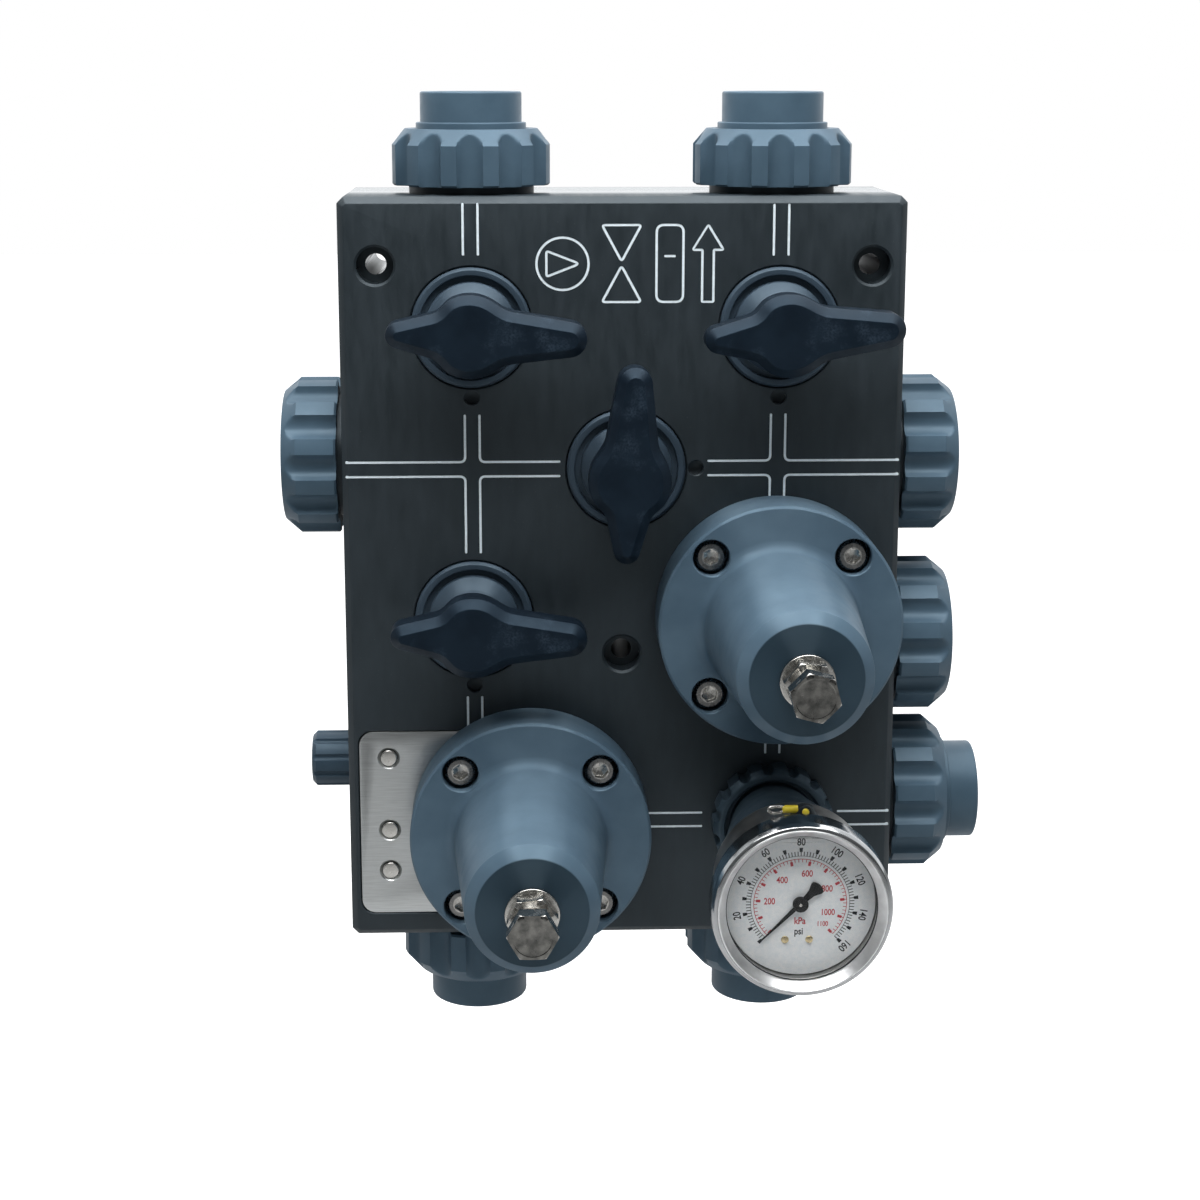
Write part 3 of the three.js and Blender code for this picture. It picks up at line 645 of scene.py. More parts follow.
PIPED = {"top_left": "top", "top_right": "top", "bottom_left": "bottom", "bottom_right": "bottom",
         "right_lower": "right"}
CAPPED = {"right_middle": "right", "right_upper": "right", "left": "left"}
PORTS = {**PIPED, **CAPPED}
SCREW_SPREAD = 28.8  # a bonnet's screws, sideways and up or down from its axis


def port_place(name, side):
    where = middle(name + "_union_nut")
    return on_side(side, where.x if side in ("top", "bottom") else where.z)


# ---------------- the block

DEPTH = 76
CHAMFER = 2.7
PASSAGE = 8
# How far each passage runs in from its port, where more than its mouth is open.
BORE_DEPTHS = {"right_lower": 155, "right_middle": 52, "right_upper": 231, "top_left": 314, "top_right": 314}
MOUTH = 2
PLATE_GAP = 0.3
PLATE_PINS = ((-98, -77.4), (-98, -109.1), (-98, -127.1))


def face_spot(where):
    """A frame position, in metres, as millimetres on the block's front face."""
    return (where[0] / MM, where[-1] / MM)


def block_blank():
    x, y = BLOCK_HALF
    c = CHAMFER
    right = [(x - c, -y), (x, c - y), (x, y - c), (x - c, y)]
    outline = right + [(-px, py) for px, py in reversed(right)]
    mesh = skinned("block_blank", outline, [(c, -DEPTH), (0, c - DEPTH), (0, -c), (c, 0)])
    bm = bmesh.new()
    bm.from_mesh(mesh)
    bmesh.ops.bevel(bm, geom=bm.edges[:], offset=0.35 * MM, segments=2, profile=0.5, affect="EDGES")
    bm.to_mesh(mesh)
    bm.free()
    return mesh


def drill(radius, low, high=1, lead=0.4, point=0.0):
    """A round cutting tool with a small lead chamfer at the surface z = 0 and an optional drill point."""
    wide = radius + lead
    profile = [(0, low - point), (radius, low), (radius, -lead), (wide, 0), (wide, high), (0, high)]
    return turned("drill", profile, even(72), default=0)


plate_low, plate_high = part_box("name_plate")
PLATE_EDGES = (plate_low.x / MM, plate_high.x / MM, plate_low.z / MM, plate_high.z / MM)


def plate_outline(grow):
    """The steel plate's outline on the face, cut away round the relief valve."""
    left, right, bottom, top = PLATE_EDGES
    left, right, bottom, top = left - grow, right + grow, bottom - grow, top + grow
    ax, ay = face_spot(PRESSURE["relief"])
    notch = 31 - grow
    reach = math.degrees(math.acos((ax - right) / notch))
    r = 6
    points = arc(right - r, bottom + r, r, -90, 0, 10)
    points += arc(ax, ay, notch, 180 + reach, 180 - reach, 40)
    points += arc(right - r, top - r, r, 0, 90, 10)
    points += arc(left + r, top - r, r, 90, 180, 10)
    points += arc(left + r, bottom + r, r, 180, 270, 10)
    return points


def ribbon(bm, path, closed, half, low, high, corner):
    """Adds a bar of rectangular section along a path on the face. The ends of an open path are rounded."""
    points = soften([(*p, corner) for p in path], closed, steps=6)
    widths = [half] * len(points)
    if not closed:
        points, widths = rounded_ends(points, half)
    rows = []
    last = len(points) - 1
    for i, here in enumerate(points):
        before = points[i - 1] if closed or i else here
        after = points[(i + 1) % len(points)] if closed or i < last else here
        into = (here - before).normalized() if i or closed else (after - here).normalized()
        out = (after - here).normalized() if i < last or closed else into
        along = (into + out).normalized()
        stretch = 1 / max(0.5, along.dot(into))
        side = Vector((along.y, -along.x)) * widths[i] * stretch
        spots = ((here - side, low), (here + side, low), (here + side, high), (here - side, high))
        rows.append([bm.verts.new((p.x, p.y, z)) for p, z in spots])
    wall(bm, rows, closed)


def rounded_ends(points, half):
    """Extra points near both ends of a path, with widths that round them off."""
    steps = (0.12, 0.4, 0.8)
    start = (points[1] - points[0]).normalized()
    end = (points[-1] - points[-2]).normalized()
    shares = [math.sqrt(1 - (1 - s) ** 2) * half for s in steps]
    head = [points[0] + start * s * half for s in steps]
    tail = [points[-1] - end * s * half for s in reversed(steps)]
    return head + points[1:-1] + tail, shares + [half] * (len(points) - 2) + shares[::-1]


LINE_HALF_GAP = 3  # from the middle of a double line to either line
LINE_HALF_WIDTH = 0.5
LINE_CORNER = 2.3
LINE_CUT, LINE_PAINT = (-0.55, 0.5), (-0.7, -0.1)  # from and to, out of the face
PAINT_OVERLAP = 0.03  # how far the paint runs into the groove's walls


def flow_lines():
    """The double lines on the face that show how the passages run, as open paths."""
    left, right = COLUMN_LEFT / MM, COLUMN_RIGHT / MM
    upper, lower = ROW_UPPER / MM, ROW_LOWER / MM
    g = LINE_HALF_GAP
    paths = []

    def pair_down(x, top, bottom):
        paths.extend([[(x + s * g, top), (x + s * g, bottom)] for s in (-1, 1)])

    def pair_across(y, start, end):
        paths.extend([[(start, y + s * g), (end, y + s * g)] for s in (-1, 1)])

    def crossing(x, y, west, east, north, south):
        for sx, far_x in ((-1, west), (1, east)):
            for sy, far_y in ((1, north), (-1, south)):
                paths.append([(far_x, y + sy * g), (x + sx * g, y + sy * g), (x + sx * g, far_y)])

    pair_down(left, 154, 133)
    pair_down(right, 153.5, 132.6)
    crossing(left, upper, -113.5, -25.5, 68.5, 10.5)
    crossing(right, upper, 34.8, 114, 68.4, 32)
    pair_down(left, -50.6, -64)
    pair_down(right, -64, -77)
    pair_across(lower, 9, 34.4)
    pair_across(lower, 91.7, 113.9)
    return paths


def symbols():
    """Outlined process symbols in the upper part of the face: (path, closed, corner)."""
    low, high = 114.2, 145.1
    mid = (low + high) / 2
    pump = arc(-24.5, mid, 10.5, 0, 352.5, 47)
    wedge = [(-31.0, mid - 5.2), (-17.6, mid), (-31.0, mid + 5.2)]
    upper = [(-8.6, high), (-0.7, mid + 0.9), (7.2, high)]
    lower = [(-8.6, low), (7.2, low), (-0.7, mid - 0.9)]
    tank = [(13.4, low), (24.2, low), (24.2, high), (13.4, high)]
    level = [(16.4, mid + 3), (21.2, mid + 3)]
    neck = high - 10
    arrow = [(31.9, low), (36.5, low), (36.5, neck), (40.4, neck), (34.2, high), (28.0, neck), (31.9, neck)]
    return [(pump, True, 0), (wedge, True, 0.8), (upper, True, 0.8), (lower, True, 0.8), (tank, True, 3),
            (level, False, 0), (arrow, True, 0.5)]


def line_meshes(half, low, high):
    """Every engraved line as a solid of its own."""
    shapes = [(path, False, LINE_CORNER) for path in flow_lines()] + symbols()
    result = []
    for path, closed, corner in shapes:
        bm = bmesh.new()
        ribbon(bm, path, closed, half, low, high, corner)
        result.append(finish_mesh("line", bm, 40))
    return result


def port_tools():
    """The mouths of the passages, one for each union."""
    tools = []
    for name, side in PORTS.items():
        depth = BORE_DEPTHS.get(name, MOUTH)
        bore = [(0, -depth), (PASSAGE, -depth), (PASSAGE, MOUTH), (0, MOUTH)]
        bore = turned("bore", bore, even(48), default=0)
        tools.append((bore, port_place(name, side)))
    return tools


def valve_tools():
    """Each ball valve's gland pocket, ball cavity and blind dimple."""
    pocket, cavity, dimple = drill(24.8, -12, lead=0.5), drill(15.3, -53.3), drill(3, -3.2, point=1.2)
    tools = []
    for name, (x, z) in VALVES.items():
        tools += [(pocket, on_face(x, z)), (cavity, on_face(x, z))]
        dx, dz = DIMPLE_AWAY[name]
        tools.append((dimple, on_face(x + dx * MM, z + dz * MM)))
    return tools


def pressure_tools():
    """Each pressure valve's chamber and the holes for its four screws."""
    chamber, tapped = drill(24.3, -47.3), drill(4.3, -20)
    spread = SCREW_SPREAD * MM
    tools = []
    for where in PRESSURE.values():
        tools.append((chamber, on_face(where.x, where.z)))
        tools += [(tapped, on_face(where.x + sx * spread, where.z + sy * spread)) for sx, sy in CORNERS]
    return tools


def mount_tools():
    """The counterbored mounting holes, through the block."""
    hole = [(0, -77), (4.25, -77), (4.25, -9), (7.5, -9), (7.5, -1), (9.5, 1), (0, 1)]
    hole = turned("mount_hole", hole, even(80), default=0)
    return [(hole, on_face(x, z)) for x, z in MOUNT_HOLES]


def block():
    """The block with everything that is cut in it, and the paint in its flow lines."""
    face = on_face(0, 0)
    gauge_socket, plug_hole = drill(15, -14), drill(8.3, -16)
    tools = port_tools() + valve_tools() + pressure_tools() + mount_tools()
    tools.append((gauge_socket, on_face(GAUGE.x, GAUGE.z)))
    tools.append((plug_hole, on_side("left", middle("drain_plug").z)))
    recess = skinned("recess", plate_outline(PLATE_GAP), [(0, -3.3), (0, -0.3), (-1.3, 1)])
    tools.append((recess, face))
    tools += [(line, face) for line in line_meshes(LINE_HALF_WIDTH, *LINE_CUT)]
    body = carved(block_blank(), tools, face)
    place("block", body, face, "block", replaces=["manifold_block"])
    paint = line_meshes(LINE_HALF_WIDTH + PAINT_OVERLAP, *LINE_PAINT)
    place("flow_line_paint", joined("flow_line_paint", paint), face, "white")


def name_plate():
    """The steel plate with its three flush pins."""
    outline = plate_outline(0)
    blank = skinned("plate_blank", outline, [(0.3, -3), (0, -2.7), (0, -0.45), (0.18, -0.12), (0.45, 0)])
    sink = turned("sink", [(0, -4), (3.6, -4), (3.6, -1.1), (4.9, 0.2), (0, 0.2)], even(64), default=0)
    spots = [on_face(x * MM, z * MM) for x, z in PLATE_PINS]
    mesh = carved(blank, [(sink, spot) for spot in spots], on_face(0, 0))
    place("name_plate", mesh, on_face(0, 0), "brushed", replaces=["name_plate"])
    pin = turned("plate_pin", [(0, -2.6), (3.45, -2.6), (3.45, 0.25, 0.5), (0, 0.35)], even(64))
    for number, spot in enumerate(spots, 1):
        place(f"plate_pin_{number}", pin, spot, "steel")


# ---------------- ball valves


def handle_outline():
    """The two-winged handle from the front, with its long wing along +x, counterclockwise."""
    hub, edge = 16.5, 65
    hx, hy = hub * math.cos(math.radians(edge)), hub * math.sin(math.radians(edge))
    points = arc(39, 0, 7, -80, 80, 14)
    points += [(17, 10.2)] + bezier((17, 10.2), (12.5, 10.9), (11, 13.1), (hx, hy), 8)
    points += arc(0, 0, hub, edge, 180 - edge, 8)
    points += bezier((-hx, hy), (-11, 13.1), (-11.5, 9.4), (-15.5, 8.6), 8) + [(-15.5, 8.6)]
    half = arc(-27.7, 0, 5.3, 102, 180, 9)
    upper = points[7:] + half
    return upper + [(x, -y) for x, y in reversed(upper[1:-1])]


def handle_mesh():
    corners = [(4.4, 21.5), (0, 21.5, 1.0), (0, 32.3, 0.8), (3.6, 36, 0.7), (4.6, 36)]
    profile = [(p.x, p.y) for p in soften(corners, False, steps=4)]
    return skinned("handle", handle_outline(), profile, angle=40)


def gland_mesh():
    profile = [(6.5, -11.7), (24.4, -11.7), (24.4, 0.4), (23.4, 1.6, 0.5), (21.2, 1.6, 0.4), (21.2, -1.2),
               (18.6, -1.2), (18.6, 2.6, 1.2), (14, 7.5, 1.5), (12.5, 9.6, 1.5), (12.5, 18.6), (13.6, 19.2),
               (13.6, 20.6), (6.5, 20.6)]
    return turned("gland", profile)


def ball_valves():
    handle, gland = handle_mesh(), gland_mesh()
    for name, (x, z) in VALVES.items():
        turn = math.radians(REST_TURN[name])
        spot = on_face(x, z, turn)
        place(name + "_grip", handle, spot, "handle", name + "_lever", [name + "_handle"])
        place(name + "_gland_nut", gland, on_face(x, z), "gland", replaces=[name + "_gland"])
        dress(name + "_ball_stem", "union")


# ---------------- pressure valves


HEX_ACROSS, SOCKET_ACROSS = 17, 6  # across flats


def rows_between(first, second, count):
    """Points on a straight line, the first left out and the last kept."""
    return [tuple(a + (b - a) * i / count for a, b in zip(first, second)) + (0,) for i in range(1, count + 1)]


def hexagon_limit(across):
    return lambda a: across / 2 / math.cos(a % (TAU / 6) - TAU / 12)


def hexagon(name, across, low, high, bore=0.0, both=False):
    """A hexagonal nut, or a head with a shallow dish, with turned chamfers and one corner along +x."""
    corner = across / math.sqrt(3)
    rim = 0.53 * across
    drop = (corner - rim) * 0.6
    under = [(corner, low, 0)]
    if both:
        under = [(rim, low, 0)] + rows_between((rim, low), (corner, low + drop), 6)
    over = [(corner, high - drop, 0)] + rows_between((corner, high - drop), (rim, high), 6)
    dish = [(7.6, high, 0.1), (7.3, high - 0.15, 0.1), (0, high - 0.15)]
    end = [(bore + 1, high), (bore, high - 1), (bore, low + 0.01)] if bore else dish
    return turned(name, [(bore, low)] + under + over + end, even(96), hexagon_limit(across), default=0)


def threaded(name, radius, low, high, pitch=1.5, depth=0.9, sides=48, rows_per_turn=10):
    """A rod with a helical thread."""
    bm = bmesh.new()
    rows = []
    count = int((high - low) / pitch * rows_per_turn)
    for j in range(count + 1):
        h = low + (high - low) * j / count
        fade = min(1, (h - low) / pitch, (high - h) / pitch)
        row = []
        for a in even(sides):
            phase = (h / pitch - a / TAU) % 1
            r = radius - depth * fade * (1 - abs(2 * phase - 1)) ** 1.1
            row.append(bm.verts.new((r * math.cos(a), r * math.sin(a), h)))
        rows.append(row)
    wall(bm, rows)
    return finish_mesh(name, bm, 50)


def bonnet_mesh():
    """A bonnet with its counterbored screw holes."""
    profile = [(20.5, 0.3), (50, 0.3), (50, 22.5), (49, 23.5), (31.7, 23.5, 5), (26, 99, 0.8),
               (21.5, 103.5, 0.5), (5, 103.5), (5, 88), (20.5, 88)]
    body = turned("bonnet_body", profile, even(144))
    bore = [(0, 12.7), (7.5, 12.7), (7.5, 23.1), (7.9, 23.5), (7.9, 34), (0, 34)]
    bore = turned("counterbore", bore, even(64), default=0)
    hole = turned("screw_hole", [(0, -1), (4.3, -1), (4.3, 20), (0, 20)], even(48), default=0)
    tools = []
    for sx, sy in CORNERS:
        where = moved(Matrix(), sx * SCREW_SPREAD, sy * SCREW_SPREAD)
        tools += [(bore, where), (hole, where)]
    return carved(body, tools)


def cap_screw_mesh():
    """A socket screw with its hexagonal socket."""
    profile = [(0, -18), (3.4, -18), (4, -17.4), (4, 13), (6.5, 13), (6.5, 19.4, 0.4), (5.3, 21, 0.3),
               (0, 21)]
    head = turned("cap_screw", profile, even(96), default=0.15, steps=5)
    socket = [(0, 16.4), (3.46, 17.4), (3.46, 20.4), (4.4, 21.3), (0, 21.3)]
    socket = turned("socket", socket, even(72), hexagon_limit(SOCKET_ACROSS), default=0)
    return carved(head, [(socket, Matrix())])


JAM_TURN = math.radians(7)  # how far the lock nut's corners stand from the screw's


def pressure_valves():
    bonnet, cap = bonnet_mesh(), cap_screw_mesh()
    washer = turned("washer", [(5, 103.8), (10.5, 103.8, 0.3), (10.5, 105.8, 0.5), (5, 105.8)])
    nut = hexagon("lock_nut", HEX_ACROSS, 106.1, 112.6, 4.85, both=True)
    head = hexagon("screw_head", HEX_ACROSS, 120.6, 127.5)
    shank = threaded("screw_shank", 4.8, 96, 120.8)
    plain = turned("screw_core", [(0, 67.3), (4.1, 67.3), (4.1, 97), (0, 97)], even(48))
    screw = joined("adjusting_screw", [head, shank, plain])
    for name, where in PRESSURE.items():
        spot = on_face(where.x, where.z)
        corner = math.radians(30 + HEX_TURN[name])
        place(name + "_housing", bonnet, spot, "bonnet", replaces=[name + "_bonnet"])
        place(name + "_flat_washer", washer, spot, "steel", replaces=[name + "_washer"])
        jammed = on_face(where.x, where.z, corner + JAM_TURN)
        place(name + "_jam_nut", nut, jammed, "steel", name + "_nut", [name + "_lock_nut"])
        angled = on_face(where.x, where.z, corner)
        place(name + "_set_screw", screw, angled, "screw", name + "_screw", [name + "_adjusting_screw"])
        cap_screws(name, cap)
        for node, finish in (("_spring", "spring"), ("_spring_button", "steel"), ("_piston", "union")):
            dress(name + node, finish)


def cap_screws(name, cap):
    """A bonnet's four socket screws, each at rest at its own angle."""
    for number in range(1, 5):
        node = f"{name}_cap_screw_{number}"
        at = middle(node)
        turn = math.radians(12 + 17 * number + (8 if name == "relief" else 0))
        place(f"{name}_bolt_{number}", cap, on_face(at.x, at.z, turn), "cap", replaces=[node])


# ---------------- gauge

DIAL_TOP = 96.5
PRINT_TOP = DIAL_TOP + 0.04
SCALE_START, SCALE_SPAN = 225, 270
FIGURE_HEIGHT = 0.69  # the share of the font's size that a figure fills
NARROW = 0.8
PSI_MAX = 160
KPA_MAX = 1100
KPA_PER_PSI = 6.895
# Each kPa number with its distance from the centre and its height.
KPA_NUMBERS = ((200, 11.8, 2.5), (400, 11.7, 2.5), (600, 12.1, 2.5), (800, 11.7, 2.5), (1000, 11.3, 2.4),
               (KPA_MAX, 12.1, 1.9))


def flat_shapes(name, polygons, height):
    """Flat polygons at one height."""
    bm = bmesh.new()
    for polygon in polygons:
        bm.faces.new([bm.verts.new((x, y, height)) for x, y in polygon])
    return finish_mesh(name, bm, 180)


def polar(r, degrees, aside=0.0):
    a = math.radians(degrees)
    return (r * math.cos(a) - aside * math.sin(a), r * math.sin(a) + aside * math.cos(a))


def tick(inner, outer, degrees, half_in, half_out=None):
    """A mark of the scale, as a quadrilateral."""
    half_out = half_in if half_out is None else half_out
    corners = ((inner, -half_in), (outer, -half_out), (outer, half_out), (inner, half_in))
    return [polar(r, degrees, aside) for r, aside in corners]


def arc_band(radius, width, start, end, steps=90):
    """The arc as short quadrilaterals."""
    turns = [start + (end - start) * i / steps for i in range(steps + 1)]
    inner, outer = radius - width / 2, radius + width / 2
    pairs = zip(turns, turns[1:])
    return [[polar(inner, a), polar(outer, a), polar(outer, b), polar(inner, b)] for a, b in pairs]


def dial_angle(psi):
    return SCALE_START - SCALE_SPAN * psi / PSI_MAX


def lettering(text, height, where):
    """Numbers or unit names as a flat mesh. The height is that of a figure."""
    curve = bpy.data.curves.new("lettering", "FONT")
    curve.body = text
    curve.align_x, curve.align_y = "CENTER", "CENTER"
    curve.resolution_u = 4
    curve.offset = 0.018
    mesh = mesh_of(curve)
    size = height / FIGURE_HEIGHT * MM
    mesh.transform(where @ Matrix.Diagonal((size * NARROW, size, size, 1)))
    return mesh


def at_dial(x, y, turn=0.0):
    """A place on the dial, on its print."""
    return moved(Matrix(), x, y, PRINT_TOP) @ Matrix.Rotation(turn, 4, "Z")


def black_print():
    """The outer psi scale."""
    shapes = arc_band(19.0, 0.16, SCALE_START, SCALE_START - SCALE_SPAN)
    for psi in range(0, PSI_MAX + 1, 2):
        shapes.append(tick(18.9, 20.8, dial_angle(psi), 0.16))
        if psi % 10 == 0:
            shapes.append(tick(20.6, 22.3, dial_angle(psi), 0.5, 0.72))
    meshes = [flat_shapes("black_marks", shapes, PRINT_TOP)]
    for psi in range(20, PSI_MAX + 1, 20):
        angle = dial_angle(psi)
        x, y = polar(24.5, angle)
        meshes.append(lettering(str(psi), 2.8, at_dial(x, y, math.radians(angle - 90))))
    meshes.append(lettering("psi", 2.7, at_dial(-0.4, -11.4)))
    return joined("dial_black_print", meshes)


def red_print():
    """The inner kPa scale."""
    shapes = arc_band(17.8, 0.24, SCALE_START, dial_angle(KPA_MAX / KPA_PER_PSI))
    for kpa in range(0, KPA_MAX + 1, 20):
        angle = dial_angle(kpa / KPA_PER_PSI)
        shapes.append(tick(16.5, 17.8, angle, 0.13))
        if kpa % 100 == 0:
            shapes.append(tick(15.3, 17.0, angle, 0.52))
    meshes = [flat_shapes("red_marks", shapes, PRINT_TOP)]
    for kpa, away, size in KPA_NUMBERS:
        x, y = polar(away, dial_angle(kpa / KPA_PER_PSI))
        meshes.append(lettering(str(kpa), size, at_dial(x, y)))
    meshes.append(lettering("kPa", 2.7, at_dial(0, -7.2)))
    return joined("dial_red_print", meshes)


def fill_line():
    """The filling's surface at the top of the dial: a lens-shaped band with a thin line under it."""
    level, radius = 26.7, 28.8
    reach = math.degrees(math.acos(level / radius))
    band = arc(0, 0, radius, 90 - reach, 90 + reach, 24)
    line = [(-8.4, 25.5), (-4, 25.22), (4, 25.22), (8.4, 25.5), (4, 25.4), (-4, 25.4)]
    return flat_shapes("fill_line", [band, line], DIAL_TOP + 2.6)


def pointer_mesh():
    low = DIAL_TOP + 0.5
    fan = arc(-6.2, 0, 4.4, 140, 220, 10)
    outline = [(0, -0.95), (20.6, -0.16), (20.6, 0.16), (0, 0.95), (-3, 1.15), (-6.0, 1.5), (-8.6, 2.8)] + fan
    outline += [(-8.6, -2.8), (-6.0, -1.5), (-3, -1.15)]
    blade = skinned("blade", outline, [(0, low), (0, low + 0.45), (0.12, low + 0.55)])
    hub = turned("hub", [(0, low), (3, low), (3, low + 1.7, 0.3), (0, low + 1.7)], even(64))
    return joined("pointer", [blade, hub])


GUARD_BODY = [(0, -12), (14.7, -12), (14.7, 0.3), (20.2, 0.3), (20.2, 6), (18, 6), (18, 10, 2), (28, 60, 2),
              (28, 66, 1.5), (0, 66)]
CASE = [(0, 66.3), (31, 66.3, 3), (31, 99.7), (29.3, 99.7), (29.3, 69.3), (0, 69.3)]
BEZEL = [(31.3, 92), (33.9, 92, 0.3), (34.7, 93, 0.5), (34.7, 103, 2.4), (33.7, 105.4, 1.0),
         (32.45, 105.8, 0.2), (32.45, 101.8), (31.3, 101.8)]
FRONT_RING = [(29.0, 101.9), (32.4, 101.9), (32.4, 105.9, 0.2), (31.9, 106.2, 0.4), (29.3, 102.9, 0.4),
              (29.0, 102.3, 0.1)]
WINDOW_SEAL = [(28.7, 101.55), (29.0, 101.55), (29.0, 101.85), (28.7, 101.85)]
DIAL = [(0, DIAL_TOP - 1), (29, DIAL_TOP - 1), (29, DIAL_TOP), (0, DIAL_TOP)]
WINDOW = [(0, 100), (30.7, 100), (30.7, 101.5), (0, 101.5)]
DIAL_SCREW = [(0, 96.4), (1.45, 96.4), (1.45, 97.0, 0.4), (0, 97.3)]
DIAL_SCREW_SPOTS = ((-5.6, -14.6), (3.7, -14.6))


def guard_nut(spot):
    """The isolator's fluted nut."""
    flutes = (25.5, 15, 2.6, 2.2)
    profile = [(20.5, 0.3), (25.5, 0.3), (25.5, 10.3, 0)] + rows_between((25.5, 10.3), (23.4, 12.4), 4)
    profile += [(22.6, 12.5, 0.2), (21.2, 12.5, 0.2), (20.5, 11.8)]
    mesh = turned("guard_nut", profile, fluted_angles(*flutes), fluted_limit(*flutes), angle=38)
    place("guard_nut", mesh, spot, "guard", replaces=["gauge_guard_nut"])


def gauge():
    """The pressure gauge on its isolator, from the back to the front."""
    spot = on_face(GAUGE.x, GAUGE.z)
    place_turned("guard_body", GUARD_BODY, spot, "guard", replaces=["gauge_guard_body"])
    guard_nut(spot)
    place_turned("case", CASE, spot, "case", 128, ["gauge_case"])
    place_turned("bezel", BEZEL, spot, "bezel", 160, ["gauge_bezel"], steps=7)
    place_turned("bezel_front_ring", FRONT_RING, spot, "reflector", 160)
    place_turned("window_seal", WINDOW_SEAL, spot, "seal", 128, default=0.05)
    place("fill_surface", fill_line(), spot, "liquid")
    place_turned("dial", DIAL, spot, "dial", replaces=["gauge_dial"])
    place_turned("window", WINDOW, spot, "glass", 128, ["gauge_glass"], default=0.1)
    place("dial_black_print", black_print(), spot, "black_ink")
    place("dial_red_print", red_print(), spot, "red_ink")
    needle = on_face(GAUGE.x, GAUGE.z, math.radians(SCALE_START))
    place("needle", pointer_mesh(), needle, "pointer", "pointer", ["gauge_pointer"])
    dot = turned("needle_dot", [(0, 98.0), (0.7, 98.0), (0.7, 98.75, 0.2), (0, 98.85)], even(32))
    place("needle_dot", dot, needle, "steel", "pointer")
    screw = turned("dial_screw", DIAL_SCREW, even(40))
    for number, (x, y) in enumerate(DIAL_SCREW_SPOTS, 1):
        place(f"dial_screw_{number}", screw, moved(spot, x, y), "brass")
    vent(spot)


VENT_PLUG = [(0, 0), (5.4, 0), (5.4, 1.6, 0.6), (4.2, 2.6, 0.5), (3.2, 5.2, 1.2), (0, 5.6)]
VENT_HEAD = [(0, 0), (2.6, 0), (2.6, 2.4, 0.8), (1.5, 2.8), (0, 2.8)]
VENT_BEAD = [(0, 0), (1.35, 0), (1.35, 1.2, 0.6), (0, 1.4)]
VENT_SLEEVE = [(0.7, 0), (1.55, 0, 0.2), (1.55, 6.0, 0.2), (0.7, 6.0)]


def vent(spot):
    """The case's rubber vent plug with its yellow stem, sleeve and wire seal."""
    up, along = Matrix.Rotation(math.radians(-90), 4, "X"), Matrix.Rotation(math.radians(-90), 4, "Y")
    place_turned("vent_plug", VENT_PLUG, moved(spot, 2.2, 30.4, 86.5) @ up, "rubber", 64)
    place_turned("vent_head", VENT_HEAD, moved(spot, 2.2, 34.2, 87.5), "rubber", 48)
    place_turned("vent_bead", VENT_BEAD, moved(spot, 2.2, 34.4, 90.0), "yellow", 40)
    place_turned("vent_sleeve", VENT_SLEEVE, moved(spot, -0.4, 34.6, 87.5) @ along, "yellow", 40)
    place("vent_wire", wire_loop(), moved(spot, -5.2, 34.7, 87.5), "steel")


WIRE_PATH = ((1.2, -0.6, 0), (-1.5, -1.2, 0.2), (-5.6, -1.7, 0.4), (-7.0, -0.2, 0.5), (-5.6, 1.4, 0.4),
             (-1.5, 1.2, 0.2), (1.2, 0.5, 0))


def wire_loop():
    """A small wire loop that lies to the left of its sleeve."""
    curve = bpy.data.curves.new("wire", "CURVE")
    curve.dimensions = "3D"
    curve.bevel_depth = 0.62 * MM
    curve.bevel_resolution = 4
    curve.use_fill_caps = True
    line = curve.splines.new("NURBS")
    line.points.add(len(WIRE_PATH) - 1)
    for point, centre in zip(line.points, WIRE_PATH):
        point.co = (*(Vector(centre) * MM), 1)
    line.use_endpoint_u = True
    line.order_u = 4
    mesh = mesh_of(curve)
    mesh.polygons.foreach_set("use_smooth", [True] * len(mesh.polygons))
    return mesh


# ---------------- unions


def union_nut_mesh():
    flutes = (33, 12, 5.8, 4)
    profile = [(26.5, 3), (32.2, 3, 0), (33, 3.8, 0), (33, 19.6, 0)]
    profile += rows_between((33, 19.6), (27.5, 26), 10)
    profile += [(24.0, 26, 0), (23.15, 25.2, 0), (23.15, 21.2, 0), (26.5, 21.2, 0)]
    angles = fluted_angles(*flutes, inside=12, land=4)
    return turned("union_nut", profile, angles, fluted_limit(*flutes), default=0, angle=34)


def unions():
    nut = union_nut_mesh()
    tail = [(12.5, 16.3), (26, 16.3), (26, 20.9), (22.8, 20.9), (22.8, 28.5, 0.5), (21, 28.5, 0.3),
            (21, 41, 1.0), (16.75, 41, 0.6), (16.75, 19), (12.5, 19)]
    tail = turned("tailpiece", tail)
    disc = [(0, 16.3), (26, 16.3), (26, 20.9), (22.8, 20.9), (22.8, 22.9, 0.5), (0, 22.9)]
    disc = turned("blank_disc", disc)
    collar = turned("spigot", [(PASSAGE, -0.8), (26, -0.8), (26, 16, 0.6), (PASSAGE, 16)])
    for name, side in PORTS.items():
        spot = port_place(name, side)
        place(name + "_spigot", collar, spot, "block")
        place(name + "_nut", nut, spot, "union", replaces=[name + "_union_nut"])
        if name in PIPED:
            place(name + "_tail", tail, spot, "union", replaces=[name + "_tailpiece"])
        else:
            place(name + "_blank", disc, spot, "union", replaces=[name + "_blank_disc"])


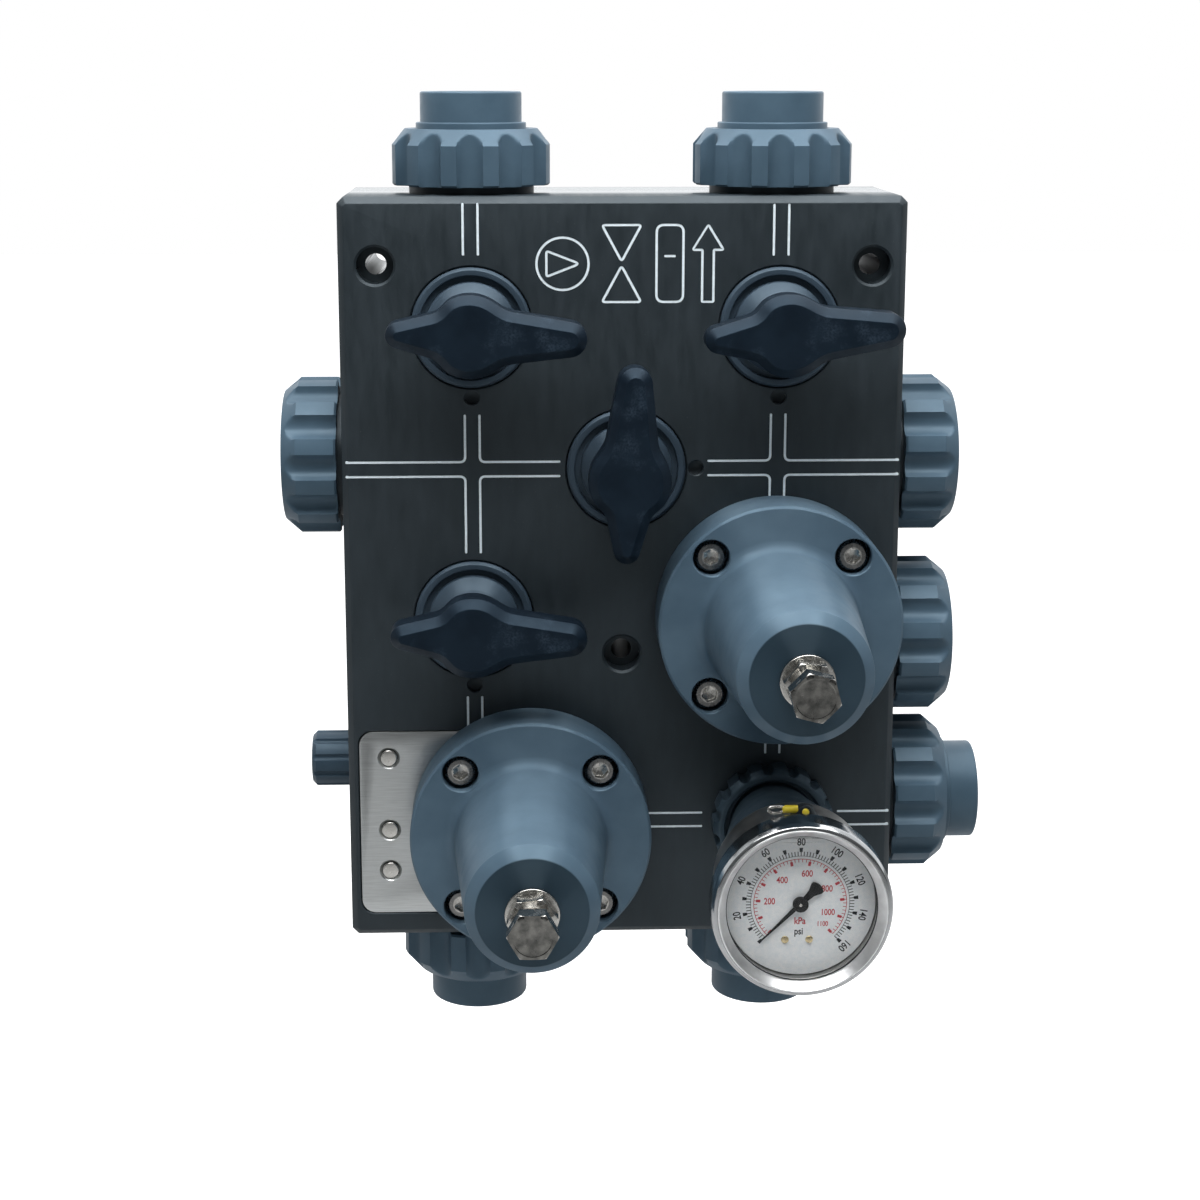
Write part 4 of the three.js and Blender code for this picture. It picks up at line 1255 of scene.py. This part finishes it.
def drain():
    """The small grooved screw plug on the left side."""
    flutes = (12, 10, 1.6, 1)
    profile = [(0, -14), (7.4, -14, 0), (8, -13.4, 0), (8, 0.3, 0), (11.4, 0.3, 0), (12, 0.9, 0),
               (12, 16.2, 0)]
    profile += rows_between((12, 16.2), (10.2, 18), 4) + [(0, 18)]
    angles = fluted_angles(*flutes, inside=8)
    mesh = turned("drain_plug", profile, angles, fluted_limit(*flutes), default=0, angle=36)
    place("drain_stopper", mesh, on_side("left", middle("drain_plug").z), "drain", replaces=["drain_plug"])


# ---------------- stage, light and camera


SURROUND_BELOW, SURROUND_ABOVE, SURROUND_BEHIND = 0.04, 0.2, 1.2
FLOOR_HALF, FLOOR_HEIGHT = 6000, -360
WHITE = (1, 1, 1, 1)
COOL_WHITE = (0.96, 0.985, 1, 1)


def stage():
    """A pale floor below the object, white to the camera."""
    square = [(sx * FLOOR_HALF, sy * FLOOR_HALF) for sx, sy in ((-1, -1), (1, -1), (1, 1), (-1, 1))]
    floor = linked("floor", flat_shapes("floor", [square], FLOOR_HEIGHT))
    n = Nodes("pale_floor")
    n.feed("Base Color", n.ramp(n.noise(3.0), 0.2, 0.8, (0.5, 0.5, 0.5), (0.52, 0.52, 0.52)))
    n.set("Roughness", 0.9)
    n.set("Emission Color", WHITE)
    n.feed("Emission Strength", n.add("LightPath").outputs["Is Camera Ray"])
    floor.data.materials.append(n.material)


def wired(tree, kind, *sources):
    """A new shader node whose first inputs take the sources in order. None leaves an input as it is."""
    node = tree.nodes.new("ShaderNode" + kind)
    for number, source in enumerate(sources):
        if source:
            tree.links.new(source, node.inputs[number])
    return node


def sky():
    """White to the camera, and a soft surround: bright behind and overhead, dark in front below."""
    world = bpy.data.worlds.new("studio")
    bpy.context.scene.world = world
    world.use_nodes = True
    tree = world.node_tree
    tree.nodes.clear()
    split = wired(tree, "SeparateXYZ", wired(tree, "TexCoord").outputs["Generated"]).outputs
    overhead = graded(tree, split["Z"], (-0.4, 0.6), (SURROUND_BELOW, SURROUND_ABOVE))
    behind = graded(tree, split["Y"], (0.1, 0.7), (0.0, SURROUND_BEHIND))
    total = wired(tree, "Math", overhead, behind)
    total.operation = "ADD"
    shade = wired(tree, "Background", None, total.outputs[0])
    shade.inputs["Color"].default_value = COOL_WHITE
    white = wired(tree, "Background")
    white.inputs["Color"].default_value = WHITE
    seen = wired(tree, "LightPath").outputs["Is Camera Ray"]
    mix = wired(tree, "MixShader", seen, shade.outputs[0], white.outputs[0])
    wired(tree, "OutputWorld", mix.outputs[0])


def graded(tree, value, span, levels):
    """A smooth change between two levels over a span of a value."""
    node = wired(tree, "MapRange", value)
    node.interpolation_type = "SMOOTHSTEP"
    for name, number in zip(("From Min", "From Max", "To Min", "To Max"), (*span, *levels)):
        node.inputs[name].default_value = number
    return node.outputs["Result"]


# Each lamp's name, place, aim, width, height and power.
LAMPS = (
    ("top_box", (0.05, 0.0, 0.75), (0.05, 0.001, 0), 1.3, 0.6, 10),
    ("front_box", (0.0, -0.55, 0.9), (0.0, -0.1, 0), 1.0, 0.4, 13),
    ("left_box", (-1.3, 0.1, 0.5), (0, -0.1, 0), 0.6, 1.2, 0.8),
    ("right_box", (1.3, 0.1, 0.6), (0, -0.1, 0), 0.6, 1.2, 0.8),
)


def lights():
    """Soft rectangular lamps, each turned towards its aim."""
    for name, where, aim, width, height, power in LAMPS:
        light = bpy.data.lights.new(name, "AREA")
        light.shape = "RECTANGLE"
        light.size, light.size_y = width, height
        light.energy = power
        lamp = linked(name, light)
        lamp.location = where
        lamp.rotation_euler = (Vector(aim) - Vector(where)).to_track_quat("-Z", "Y").to_euler()


CAMERA_PLACE = (-0.0432, -0.9554, 0.205)
CAMERA_PITCH, CAMERA_YAW = 11.5, -1.82  # degrees down from level, and about the upright
LENS, SENSOR = 65.37, 36
LENS_SHIFT = (0.0121, -0.07)


def camera():
    """The front view: a long lens a little above the gauge."""
    lens = bpy.data.cameras.new("camera")
    lens.lens = LENS
    lens.sensor_width = SENSOR
    lens.shift_x, lens.shift_y = LENS_SHIFT
    lens.clip_start, lens.clip_end = 0.05, 20
    view = linked("camera", lens)
    view.location = CAMERA_PLACE
    view.rotation_euler = (math.radians(90 - CAMERA_PITCH), 0, math.radians(CAMERA_YAW))
    bpy.context.scene.camera = view


block()
name_plate()
ball_valves()
pressure_valves()
gauge()
unions()
drain()
stage()
sky()
lights()
camera()
bpy.context.scene.view_settings.view_transform = "Standard"
